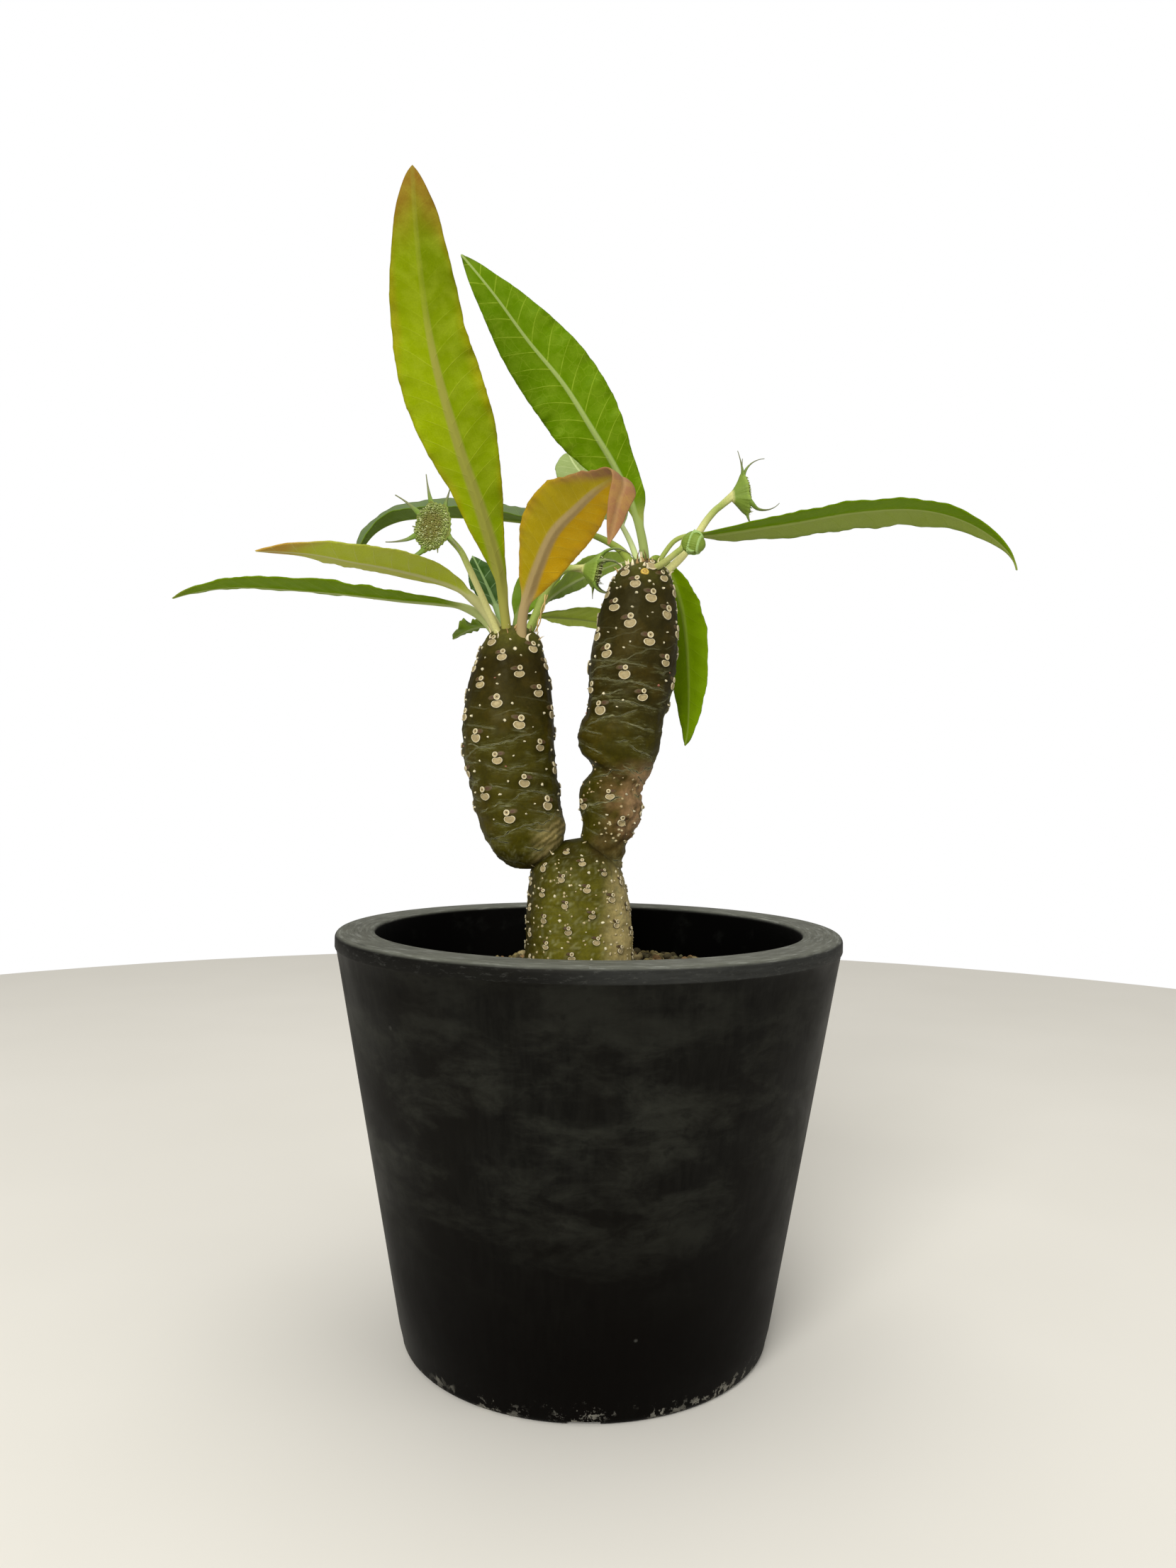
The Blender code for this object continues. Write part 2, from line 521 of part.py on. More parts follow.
def make_stem():
    trunk = stem_tube("stem", TRUNK)
    arms = [stem_tube("arm", LEFT_ARM), stem_tube("arm", RIGHT_ARM)]
    fuse(trunk, arms)
    surface = surface_of(trunk, 0)
    scars = []
    for point, facing, half_width in scar_places():
        outside = Vector((point + facing * 3) * MM)
        hit, _, _, _ = surface.ray_cast(outside, Vector(-facing))
        if hit and (hit - Vector(point * MM)).length < 1.0 * MM:
            scars.append(scar(np.array(hit) / MM, facing, half_width))
    fuse(trunk, scars)
    return trunk


def surface_of(obj, swell):
    """The object's surface, moved outwards by this many millimetres, for finding where a stalk meets it."""
    mesh = obj.data
    points = [vertex.co + vertex.normal * swell * MM for vertex in mesh.vertices]
    return BVHTree.FromPolygons(points, [polygon.vertices for polygon in mesh.polygons])


def seat_on_stem(points, direction, surface):
    """Moves the points along the stalk's direction until they meet the stem's swollen surface."""
    seated = []
    for point in points:
        start = Vector((point + direction * 12) * MM)
        hit, _, _, _ = surface.ray_cast(start, Vector(-direction))
        seated.append(np.array(hit) / MM if hit else point)
    return seated


def blade_share(share, spec):
    """How wide the blade is at this share of its length: a low power fills out its base or its tip."""
    share, widest = min(max(share, 0), 1), spec["widest"]
    base_power, tip_power = spec["powers"]
    if share < widest:
        return math.sin(math.pi / 2 * share / widest) ** base_power
    return max(math.cos(math.pi / 2 * (share - widest) / (1 - widest)), 0) ** tip_power


def leaf_rings(spec):
    """Rings of points round the leaf, from its foot to its tip: five across the top, five back underneath."""
    stalk, rows = spec["stalk"], spec["rows"]
    shares = [stalk * k / STALK_ROWS for k in range(STALK_ROWS)]
    shares += [stalk + (1 - stalk) * k / rows for k in range(rows + 1)]
    places, ways, _ = smooth_curve(spec["midrib"], shares)
    faces = np.array(spec["face"], float)
    stations = np.linspace(0, 1, len(faces))
    rings = []
    for share, place, way in zip(shares, places, ways):
        up = np.array([np.interp(share, stations, faces[:, k]) for k in range(3)])
        up = unit(up - way * (up @ way))
        right = np.cross(way, up)
        along = (share - stalk) / (1 - stalk)
        rings.append(leaf_ring(spec, place, right, up, along))
    return rings, places, ways


def leaf_ring(spec, place, right, up, along):
    """One ring: an oval round the bare stalk, spreading into the blade with its rib underneath."""
    radius = spec["stalk_radius"] * (1 - 0.3 * min(max(along + 0.2, 0) * 2, 1))
    spread = blade_share(along, spec)
    half_width = max(spec["width"] * spread, radius if along < 0.5 else 0.4)
    blend = min(max(along / 0.12, 0), 1)
    blend = blend * blend * (3 - 2 * blend)
    rib = RIB_DEPTH * (1 - max(along, 0)) * blend
    lift = math.tan(math.radians(spec["lift"]))
    ring = []
    for side, columns in ((1, COLUMNS), (-1, COLUMNS[::-1])):
        for column in columns:
            turn = math.radians(90 - 72 * column)
            stalk_point = right * radius * math.cos(turn) + up * side * radius * 0.85 * math.sin(turn)
            phase = math.tau * spec["waves"] * along + (0.9 if column > 0 else 3.6)
            wave = spec["wave"] * column * column * math.sin(phase) * math.sqrt(spread)
            height = abs(column) * half_width * lift + wave + side * BLADE_THICKNESS / 2
            if column == 0 and side < 0:
                height -= rib
            blade_point = right * column * half_width + up * height
            ring.append(place + stalk_point * (1 - blend) + blade_point * blend)
    return ring


def make_leaf(name, spec, surface):
    rings, places, ways = leaf_rings(spec)
    foot = seat_on_stem([*rings[0], places[0]], ways[0], surface)
    rings[0] = foot[:-1]
    if not clear_of(rings[1], rings[0], ways[0]):
        del rings[1]
    return closed_loft(name, rings, foot[-1], places[-1] + ways[-1] * 0.6, spec["colour"])


def clear_of(ring, foot, direction):
    """Whether every point of the ring lies ahead of the foot's matching point."""
    return all(float((a - b) @ direction) > 0.2 for a, b in zip(ring, foot))


def face_axes(facing):
    """The ways that are up and to the right in a flat face, seen from in front of it."""
    facing = unit(np.array(facing, float))
    up = unit(np.array([0, 0, 1.0]) - facing * facing[2])
    return facing, up, np.cross(up, facing)


def bloom_rings(spec, draw):
    """Rings of points from the stalk's foot, over the cone behind the head, to the granular face."""
    facing, up, right = face_axes(spec["facing"])
    centre = np.array(spec["centre"], float)
    size = (spec["across"] + spec["up"]) / 2
    back = centre - facing * size * 0.55
    shares = [0, 0.15, 0.32, 0.5, 0.66, 0.82]
    places, ways, _ = smooth_curve([*spec["stalk"], back, centre], shares)
    angles = [math.tau * k / BLOOM_SIDES for k in range(BLOOM_SIDES)]
    rings = []
    first = up - ways[0] * (up @ ways[0])
    for share, place, way in zip(shares, places, ways):
        first = unit(first - way * (first @ way))
        second = np.cross(first, way)
        radius = 0.85 - 0.2 * share
        ring = [place + radius * (first * math.sin(a) + second * math.cos(a)) for a in angles]
        rings.append(ring)
    for depth, share in ((0.45, 0.28), (0.22, 0.62), (0.08, 0.93)):
        rings.append(head_ring(spec, centre - facing * size * depth, up, right, angles, share))
    for lift, share in ((0.5, 1.0), (0.75, 0.72), (0.85, 0.38)):
        ring = head_ring(spec, centre + facing * lift, up, right, angles, share)
        rings.append([p + facing * draw.uniform(-1, 1) * FLORET_RISE for p in ring])
    return rings, places, ways, centre + facing * 0.9


def head_ring(spec, middle, up, right, angles, share):
    """An oval ring of the head, its edge gently scalloped."""
    ring = []
    for angle in angles:
        scallop = share * (1 + 0.05 * math.cos(6 * angle))
        across = right * math.cos(angle) * spec["across"]
        ring.append(middle + scallop * (across + up * math.sin(angle) * spec["up"]))
    return ring


def bloom_arm(spec, angle, length, lean):
    """One tapering three-sided arm that grows from the head's edge and curves to the front."""
    facing, up, right = face_axes(spec["facing"])
    turn = math.radians(angle)
    out = right * math.cos(turn) + up * math.sin(turn)
    edge = right * math.cos(turn) * spec["across"] + up * math.sin(turn) * spec["up"]
    start = np.array(spec["centre"], float) + edge * 0.72
    reach = length + np.linalg.norm(edge) * 0.28
    side = np.cross(facing, out)
    rings = []
    for share in (0, 0.45, 1):
        bend = math.radians(lean) * share
        middle = start + reach * share * (out * math.cos(bend) + facing * math.sin(bend))
        course = bend + math.atan(bend)
        ahead = out * math.cos(course) + facing * math.sin(course)
        above = facing * math.cos(course) - out * math.sin(course)
        radius = ARM_RADIUS + (ARM_TIP_RADIUS - ARM_RADIUS) * min(share * 1.6, 1)
        rings.append([middle + radius * (side * a + above * b) for a, b in ARM_CORNERS])
    return closed_loft("arm", rings, start - out * 0.1, middle + ahead * 0.3, "bloom")


def make_bloom(name, spec, surface):
    draw = random.Random(name)
    rings, places, ways, top = bloom_rings(spec, draw)
    foot = seat_on_stem([*rings[0], places[0]], ways[0], surface)
    rings[0] = foot[:-1]
    head = closed_loft(name, rings, foot[-1], top, "bloom")
    fuse(head, [bloom_arm(spec, *arm) for arm in spec["arms"]])
    return head


def main():
    clear_scene()
    make_pot()
    make_soil()
    stem = make_stem()
    seat = surface_of(stem, GAP * 1.2)
    for name, spec in LEAVES.items():
        make_leaf(name, spec, seat)
    for name, spec in BLOOMS.items():
        make_bloom(name, spec, seat)


main()
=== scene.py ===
"""The look of a potted dorstenia: fine leaves, a scarred stem, flower heads, grit and pot round the solids.

The object stands on the floor at Z 0 with -Y at the front. Lengths in the tables are in millimetres and
angles in degrees, as in the part's source, and MM turns a millimetre into Blender's metre. Angles round a
stem are measured from the front, growing towards +X. Colours are written as display values from 0 to 255.
"""

import math
import random

import bmesh
import bpy
import numpy as np
from mathutils import Matrix, Vector, noise
from mathutils.bvhtree import BVHTree
from mathutils.kdtree import KDTree


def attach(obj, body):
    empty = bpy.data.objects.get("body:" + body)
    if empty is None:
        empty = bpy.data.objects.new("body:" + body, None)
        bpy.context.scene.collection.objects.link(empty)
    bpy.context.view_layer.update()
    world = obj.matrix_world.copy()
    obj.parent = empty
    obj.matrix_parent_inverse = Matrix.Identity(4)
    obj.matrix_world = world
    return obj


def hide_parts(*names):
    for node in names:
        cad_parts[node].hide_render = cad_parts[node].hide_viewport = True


MM = 0.001

# The photograph's camera: its place, lens, sensor, tilt and roll, and how near and far it sees in metres
CAMERA_PLACE = (-0.62, -273.96, 130.74)
CAMERA_LENS = 26.0
SENSOR_WIDTH = 36.0
CAMERA_TILT = -0.06
CAMERA_ROLL = 0.69
CAMERA_CLIP = (0.02, 20.0)

# The room's own light, the lamps as (name, place in metres, size, power), and the floor's reach
ROOM_LIGHT = 0.34
LAMPS = (
    ("key", (-0.35, -1.0, 0.62), 0.5, 12.0),
    ("fill", (0.9, -0.6, 0.5), 0.8, 2.5),
    ("top", (0.0, 0.15, 1.3), 1.1, 7.0),
)
LAMP_TARGET = (0.0, 0.0, 0.13)
LAMP_COLOUR = (1.0, 0.98, 0.93)
FLOOR_REACH = 620.0
FLOOR_SIDES = 96
FLOOR_DEPTH = 8.0
FLOOR_ROUND = 1.0

# How finely smooth curves are followed, and how far apart the places are that give their direction
CURVE_SAMPLES = 400
WAY_STEP = 0.3

# The pot, with the roundings of its base, of the rim's outer edge and of its mouth
RIM_RADIUS = 60.0
POT_HEIGHT = 96.4
BASE_RADIUS = 43.3
MOUTH_RADIUS = 50.8
RIM_BAND = 3.6
RIM_STEP = 0.35
BAND_FOOT = POT_HEIGHT - RIM_BAND
BASE_CORNER = 1.6
CORNER_REACH = 1.65
CORNER_TOP = 1.8
RIM_ROUND = 1.4
MOUTH_ROUND = 0.9
FLOOR_THICKNESS = 4.0
FLOOR_RADIUS = 38.5
POT_SIDES = 192
INNER_ROWS = 8
WALL_ROWS = 24
DRAIN_HOLE_RADIUS = 3.5
DRAIN_HOLE_REACH = 26.0
DRAIN_SLOT_PAST = 6
DRAIN_SLOT_WIDTH = 7.0
DRAIN_HOLE_DEPTH = 12
DRAIN_HOLE_SIDES = 40
DRAIN_SLOT_DEPTH = 1.0
DRAINS = 4

# The grit, and the bed under its grains
SOIL_TOP = 84.0
GRAINS = 2350
GRAIN_RADII = (0.55, 1.45)
GRAIN_TINTS = (
    (94, 84, 52), (118, 106, 68), (76, 68, 44), (146, 132, 92), (56, 50, 32), (112, 88, 56), (92, 88, 62))
BED_FOOT = 4.4
BED_UNDER = 1.0
BED_DIP = 1.5
BED_GAP = 0.4
BED_SIDES = 96
BED_RINGS = 8

# The stem: stations of (x, y, z, radius, slope of the ring towards +X), foot to top
TRUNK = (
    (-2.2, 0, 72.0, 11.5, 0),
    (-2.2, 0, 76.0, 12.7, 0),
    (-2.2, 0, 84.0, 13.0, 0),
    (-2.3, 0, 95.8, 12.8, 0),
    (-2.6, 0, 102.0, 12.3, 0),
    (-3.0, 0, 107.5, 11.5, 0),
    (-3.1, 0, 112.2, 9.9, 0),
    (-2.5, 0, 115.4, 6.9, 0),
    (-1.8, 0, 117.4, 4.2, 0),
)
LEFT_ARM = (
    (-15.2, 0, 110.6, 3.0, 0),
    (-15.5, 0, 112.6, 6.2, 0),
    (-15.6, 0, 115.8, 8.7, 0),
    (-16.4, 0, 121.0, 10.35, 0),
    (-17.4, 0, 125.0, 10.5, 0),
    (-18.6, 0, 131.0, 10.8, 0),
    (-19.6, 0, 136.0, 11.1, 0),
    (-20.0, 0, 142.0, 11.2, 0),
    (-20.0, 0, 150.0, 10.7, 0),
    (-19.8, 0, 155.5, 9.8, 0),
    (-19.6, 0, 161.0, 8.3, 0),
    (-19.3, 0, 165.0, 6.8, 0),
    (-19.2, 0, 167.4, 5.2, 0),
    (-19.2, 0, 168.8, 3.0, 0),
)
RIGHT_ARM = (
    (2.3, 0, 110.0, 5.2, 0),
    (3.2, 0, 116.0, 5.5, 0),
    (4.6, 0, 121.0, 6.6, -0.10),
    (4.8, 0, 125.5, 7.55, -0.20),
    (5.3, 0, 129.0, 7.3, -0.35),
    (6.3, 0, 132.2, 5.9, -0.47),
    (5.4, 0, 135.0, 7.8, -0.42),
    (6.0, 0, 138.5, 9.2, -0.30),
    (7.1, 0, 143.5, 10.0, -0.12),
    (8.0, 0, 147.0, 9.7, -0.04),
    (8.9, 0, 150.5, 9.9, 0),
    (9.9, 0, 159.3, 10.5, 0),
    (10.8, 0, 169.0, 9.8, 0),
    (11.2, 0, 174.6, 8.9, 0),
    (11.8, 0, 180.0, 7.3, 0),
    (12.3, 0, 183.4, 5.4, 0),
    (12.5, 0, 185.2, 3.0, 0),
)
STEM_SIDES = 128
STEM_STEP = 0.5
STEM_SAMPLES = 240
# How far a tube's end points stand past its lowest and its highest ring
STEM_ENDS = (0.3, 0.6)
# A scar's point is sought on the skin from this far out, and this far in
PROBE_OUT = 1.5
PROBE_REACH = 6.0

# Leaf scars wind down each stem: the stem, how many, the highest scar's height and angle, the turn from one
# to the next, the drop between them, how much that drop grows each time, the most it can be, the half-width
SCAR_RULES = (
    (LEFT_ARM, 47, 165.0, 100.0, -138.46, 0.70, 0.013, 1.05, 1.30),
    (RIGHT_ARM, 43, 182.8, 16.0, -138.46, 0.52, 0.015, 1.05, 1.30),
    (RIGHT_ARM, 8, 128.0, -4.0, -138.46, 1.15, 0.0, 1.15, 1.10),
    (TRUNK, 62, 114.6, -21.0, -138.2, 0.46, 0.0, 0.46, 0.84),
)
SCAR_SIDES = 22
# The tones of a scar: dark edge, rim, floor, middle, bud, halo round the bud, and dots
SCAR_TONES = (
    (58, 47, 20), (230, 219, 182), (168, 151, 108), (176, 160, 118), (86, 54, 34), (80, 66, 30),
    (232, 223, 188))
# One fresh yellow scar at the front of the right crown: its height, angle and half-width, and its rings
YELLOW_SCAR = (181.2, 2.0, 0.95)
YELLOW_RINGS = (
    (1.12, -0.04, (70, 56, 20)), (1.0, 0.30, (214, 178, 72)), (0.75, 0.36, (222, 190, 90)),
    (0.5, 0.26, (160, 126, 50)), (0.25, 0.30, (196, 160, 70)))
# Wrinkles run halfway between the rows of scars: how many rows wind round the stem, how many rows the next
# scar is further round, how far apart the wrinkles are, and how far they wander as a share of that
WRINKLES = (("row", 3, 1, 6.5, 0.13), ("turn", 2, 1, 4.5, 0.10))
WRINKLE_SCALES = ((1.0, 1.0, 1.0), (1.4, 1.2, 0.8))
# How strongly the trunk shows its wrinkles
TRUNK_AGE = 0.12
# Below these heights the bud scar lies to the right of the stalk scar
MIRROR_LEFT = 142.0
MIRROR_RIGHT = 151.0
# Loose dots on the skin: the stem, how many, between which heights, and their colour
LOOSE_DOTS = (
    (TRUNK, 240, 86.0, 114.5, (200, 184, 138)),
    (RIGHT_ARM, 46, 117.0, 122.5, (196, 182, 140)),
    (RIGHT_ARM, 34, 122.5, 131.0, (180, 160, 118)),
    (RIGHT_ARM, 20, 131.0, 134.5, (176, 158, 118)),
    (LEFT_ARM, 9, 128.0, 156.0, (164, 108, 88)),
    (RIGHT_ARM, 10, 140.0, 168.0, (160, 100, 80)),
)

# Small pieces at the crowns: each crown's middle, radius and number of papery scales, the scales' tints, the
# dried stub of a flower stalk in front of the right crown, and the dead thread beside the amber leaf
CROWNS = (((-19.3, 0.0, 166.2), 5.4, 26), ((12.3, 0.0, 182.6), 5.4, 30))
SCALE_TINTS = ((238, 224, 182), (216, 194, 140), (246, 234, 200), (182, 150, 98))
STUB_FOOT = (11.5, -4.2, 182.6)
THREAD = (
    (-11.2, -0.6, 176.6), (-11.8, -0.8, 174.0), (-12.6, -1.0, 171.4), (-13.0, -1.2, 169.6),
    (-13.6, -1.6, 167.4))
# The thread's two strands: how far they wind in radians, how far off its middle they lie, and how fine
THREAD_POINTS = 40
THREAD_TURN = 9.0
STRAND_OFF = 0.28
STRAND_RADIUS = 0.16
STRAND_ROWS = 60
# A scale turns this share of a circle past the one before, and stands where a line from this far above its
# crown, and this long, meets the stem
SCALE_TURN = 0.382
SCALE_ABOVE = 8.0
SCALE_DROP = 30.0

# Leaves, as in the part's source: midrib, upper side's facing, half-width, bare share, widest place, powers
# of the base and tip, lift, edge wave, and how much wider each half is at shares of the blade
USUAL_LEAF = dict(trim=((0, 0, 0), (1, 0, 0)), quilt=0.07)
LEAVES = {
    "leaf_left_tall": dict(
        midrib=((-20.3, -3.0, 166), (-21.2, -6.0, 173.5), (-22.0, -11.0, 180), (-24.9, -21.0, 190.7),
                (-29.2, -32.0, 203.1), (-33.4, -43.0, 219), (-35.2, -51.0, 234.5), (-35.7, -57.0, 249)),
        trim=((0, 0.2, 1.0), (0.06, 0, 0.8), (0.15, -0.2, -0.3), (0.24, -0.8, -0.4), (0.34, -1.8, -0.1),
              (0.46, -1.1, 0.5), (0.56, 0, 0.4), (0.63, -0.1, 0), (0.70, -0.1, -0.4), (0.84, 0, 0.2),
              (0.92, 0.2, 0.5), (1, 0, 0)),
        face=((-0.1, 0.9, 0.3), (-0.1, 0.8, 0.55), (0.0, 0.8, 0.55)),
        width=8.5, stalk=0.06, widest=0.53, powers=(1.4, 0.62), lift=5, wave=0.9, waves=6, stalk_radius=1.35),
    "leaf_left_amber": dict(
        midrib=((-16.9, -4.4, 165), (-16.2, -8.5, 171.5), (-14.4, -13.0, 175.6), (-12.4, -19.5, 179.4),
                (-8.7, -31.0, 184.6), (-3.6, -43.0, 187.2), (1.2, -55.0, 188.6), (4.7, -62.5, 188.5),
                (5.2, -66.6, 185.6), (4.3, -68.4, 182.2), (3.3, -69.2, 177.6),
                (2.6, -69.5, 174.4)),
        face=((0.2, 0.8, 0.5), (0.4, 0.5, 0.7), (0.4, 0.4, 0.75), (0.5, -0.1, 0.85), (0.3, -0.9, 0.2)),
        trim=((0, 0, 0), (0.25, 0.3, 0), (0.42, 0.8, -0.2), (0.52, 0.9, -1.0), (0.62, -0.6, -2.4),
              (0.70, -2.0, -3.0), (0.78, -1.7, -2.5), (0.86, -1.0, -0.8), (0.94, -0.3, -0.1), (1, 0, 0)),
        width=7.4, stalk=0.07, widest=0.42, powers=(1.0, 0.75), lift=4, wave=0.45, waves=6, quilt=0.025,
        stalk_radius=1.35),
    "leaf_left_blush": dict(
        midrib=((-22.3, -0.6, 166.5), (-25.8, -2.8, 172.2), (-31.6, -8.0, 176.6), (-37.4, -13.0, 178.2),
                (-47.0, -22.5, 179.0), (-52.2, -27.5, 179.0), (-60.0, -34.0, 179.3), (-69.8, -40.0, 178.4)),
        face=((-0.2, 0.2, 0.95), (-0.09, 0.14, 0.98), (-0.09, 0.14, 0.98)),
        trim=((0, 0, 0.3), (0.2, -0.2, 0.6), (0.5, -0.5, 0.6), (0.8, -0.2, 0.4), (1, 0, 0)),
        width=6.9, stalk=0.16, widest=0.50, powers=(1.1, 0.75), lift=8, wave=0.14, waves=6, stalk_radius=1.5),
    "leaf_left_long": dict(
        midrib=((-22.8, 2.0, 165.8), (-26.8, 1.6, 171.1), (-32.0, 0.2, 173.7), (-47.0, -2.0, 175.0),
                (-67.0, -4.0, 176.5), (-86.5, -7.0, 176.5), (-98.3, -9.0, 173.4)),
        trim=((0, 0, 0.3), (0.15, 0.5, 0.3), (0.5, 0.5, 0.1), (0.8, 0.3, 0.4), (0.92, 0.3, 0.3), (1, 0, 0)),
        face=((-0.25, 0.0, 0.97), (0.0, 0.04, 1.0), (0.0, 0.04, 1.0)),
        width=7.8, stalk=0.12, widest=0.52, powers=(1.1, 0.75), lift=7, wave=0.25, waves=7, stalk_radius=1.4),
    "leaf_left_young": dict(
        midrib=((-21.3, 1.0, 167.5), (-23.0, 3.6, 172.4), (-25.0, 7.0, 177.0), (-27.6, 10.5, 182.6),
                (-30.6, 13.5, 188.5)),
        face=((0.2, -0.8, 0.55), (0.2, -0.8, 0.55)),
        width=4.4, stalk=0.30, widest=0.42, powers=(1.2, 0.75), lift=8, wave=0.3, waves=4, stalk_radius=0.9),
    "leaf_left_small": dict(
        midrib=((-21.6, 3.9, 166.6), (-24.0, 7.4, 169.8), (-27.2, 11.0, 170.8), (-31.5, 15.5, 170.4),
                (-36.2, 21.0, 168.5)),
        face=((-0.3, -0.1, 0.9), (0.0, 0.1, 1.0), (0.0, 0.1, 1.0)),
        width=3.4, stalk=0.25, widest=0.40, powers=(1.0, 0.75), lift=8, wave=1.1, waves=3, stalk_radius=1.1),
    "leaf_left_middle": dict(
        midrib=((-18.6, 1.3, 167.6), (-18.2, 4.6, 172.8), (-16.0, 9.0, 178.0), (-11.9, 17.0, 185.5),
                (-9.0, 25.5, 192.5), (-4.8, 32.5, 197.5)),
        face=((0.3, -0.8, 0.5), (0.2, -0.6, 0.8), (0.2, -0.5, 0.85)),
        width=4.6, stalk=0.07, widest=0.36, powers=(0.8, 0.75), lift=8, wave=0.4, waves=5, stalk_radius=1.0),
    "leaf_left_rear": dict(
        midrib=((-16.2, 2.4, 166.6), (-14.6, 5.4, 171.6), (-12.2, 9.5, 176.6), (-8.6, 15.0, 180.6),
                (-3.4, 21.5, 184.8), (2.0, 27.5, 188.4), (7.0, 33.0, 191.2), (11.6, 37.5, 192.6)),
        face=((-0.3, 0.1, 0.9), (-0.6, 0.45, 0.6), (-0.6, 0.45, 0.6)),
        trim=((0, 0, 0), (0.15, -0.3, -1.2), (0.4, -0.7, -2.2), (0.7, -0.5, -1.8), (1, 0, 0)),
        width=6.4, stalk=0.15, widest=0.46, powers=(0.9, 0.75), lift=3, wave=0.2, waves=6, stalk_radius=1.1),
    "leaf_left_low": dict(
        midrib=((-18.6, 3.8, 166.8), (-17.4, 8.0, 171.7), (-13.6, 13.0, 173.7), (-6.8, 20.0, 174.5),
                (2.0, 27.5, 174.5), (9.0, 33.0, 173.7), (15.0, 37.5, 171.9)),
        face=((-0.2, -0.4, 0.9), (-0.05, 0.3, 0.95), (0.0, 0.3, 0.95)),
        width=6.2, stalk=0.16, widest=0.46, powers=(1.2, 0.75), lift=4, wave=0.15, waves=6, stalk_radius=1.0),
    "leaf_right_tall": dict(
        midrib=((12.5, -1.2, 183.2), (11.8, -3.6, 188.6), (9.2, -8.0, 196.4), (4.4, -12.0, 205),
                (-0.6, -15.2, 212), (-7.2, -18.2, 221.2), (-15.2, -21.2, 229.8), (-22.8, -24.0, 239),
                (-29.7, -26.0, 246.5)),
        trim=((0, 0, 0.6), (0.03, 0, 2.0), (0.08, 0, 1.8), (0.16, -0.2, 0.3), (0.24, -0.7, -1.0),
              (0.45, 0, -0.5), (0.55, 0.3, -0.1), (0.68, 0, 0.4), (0.8, -0.2, 0), (0.89, 0, -0.5), (1, 0, 0)),
        face=((0.2, 0.9, 0.3), (0.05, 0.97, 0.2), (0.05, 0.97, 0.2)),
        width=8.7, stalk=0.11, widest=0.44, powers=(1.3, 0.75), lift=5, wave=0.9, waves=7, stalk_radius=1.2),
    "leaf_right_level": dict(
        midrib=((14.9, -1.0, 182.6), (17.3, -2.0, 187.0), (19.6, -3.0, 189.6), (22.6, -4.0, 190.6),
                (28.0, -5.2, 191.0), (46.5, -8.0, 193.3), (61.0, -9.5, 195.6), (74.5, -10.0, 196.3),
                (83.9, -10.0, 194.6), (91.5, -10.0, 191.0), (97.0, -10.0, 186.2), (98.8, -10.0, 182.2)),
        trim=((0, 0, 0), (0.08, -0.4, 1.2), (0.16, -0.4, 0.6), (0.28, 0, -0.3), (0.45, 0.2, -0.4),
              (0.56, 0.1, 0.6), (0.7, 0.2, 1.0), (0.85, 0.5, 0.5), (1, 0, 0)),
        face=((-0.5, 0.0, 0.85), (0.0, 0.16, 0.98), (0.1, 0.16, 0.98), (0.8, 0.2, 0.6)),
        width=8.4, stalk=0.10, widest=0.46, powers=(0.8, 1.3), lift=-8, wave=0.3, waves=7, stalk_radius=0.75),
    "leaf_right_drooping": dict(
        midrib=((13.5, 3.0, 183.0), (15.2, 7.4, 187.2), (17.8, 12.4, 187.6), (20.6, 16.6, 184.2),
                (23.2, 19.2, 177.5), (24.6, 20.2, 169.5), (25.2, 20.2, 161.5), (25.3, 18.6, 152.0),
                (24.8, 15.8, 144.8), (24.0, 14.2, 141.2)),
        face=((-0.3, -0.3, 0.9), (0.4, 0.5, 0.75), (0.5, 0.85, 0.15), (0.45, 0.88, -0.1), (0.45, 0.88, -0.1)),
        trim=((0, 0, 0), (0.3, 0, 0), (0.5, -0.6, -0.5), (0.85, -0.6, -0.6), (1, 0, 0)),
        width=6.0, stalk=0.10, widest=0.52, powers=(1.3, 0.75), lift=6, wave=0.5, waves=6, stalk_radius=1.1),
    "leaf_right_far_left": dict(
        midrib=((9.6, 0.3, 183.2), (7.6, 4.4, 187.8), (4.4, 10.0, 191.4), (-0.4, 16.5, 195.0),
                (-7.4, 22.6, 198.2), (-20.8, 28.6, 201.4), (-35.9, 31.0, 202.8), (-45.3, 30.5, 202.4),
                (-52.3, 28.5, 200.8), (-57.6, 25.6, 197.1), (-60.6, 23.2, 192.0), (-61.2, 22.0, 187.3)),
        trim=((0, 0, 0), (0.05, 0, -0.9), (0.25, -0.5, -1.5), (0.42, -0.5, -1.5), (0.55, -0.4, -1.2),
              (0.72, 0, -0.2), (1, 0, 0)),
        face=((0.2, -0.3, 0.9), (0.0, -0.3, 0.95), (0.0, -0.35, 0.93), (-0.85, -0.3, 0.4)),
        width=7.6, stalk=0.20, widest=0.58, powers=(1.3, 0.75), lift=26, wave=0.3, waves=7, stalk_radius=1.1),
    "leaf_right_pale": dict(
        midrib=((11.1, 2.4, 184.0), (9.8, 6.9, 189.7), (8.2, 11.6, 194.4), (6.4, 17.0, 198.8),
                (1.8, 27.0, 207.8), (-3.2, 37.0, 216.0), (-5.9, 43.0, 221.0), (-7.2, 47.5, 225.0)),
        face=((0.1, -0.8, 0.6), (-0.1, -0.65, 0.75), (-0.1, -0.65, 0.75)),
        trim=((0, 0, 0), (0.4, 0, 0.2), (0.6, 0, 1.1), (0.85, 0, 1.1), (1, 0, 0)),
        width=7.2, stalk=0.25, widest=0.46, powers=(1.2, 0.6), lift=6, wave=0.5, waves=6, stalk_radius=0.75),
}
LEAF_COLUMNS = 30
LEAF_ROWS = 130
STALK_ROWS = 14
BLADE_THICKNESS = 0.55
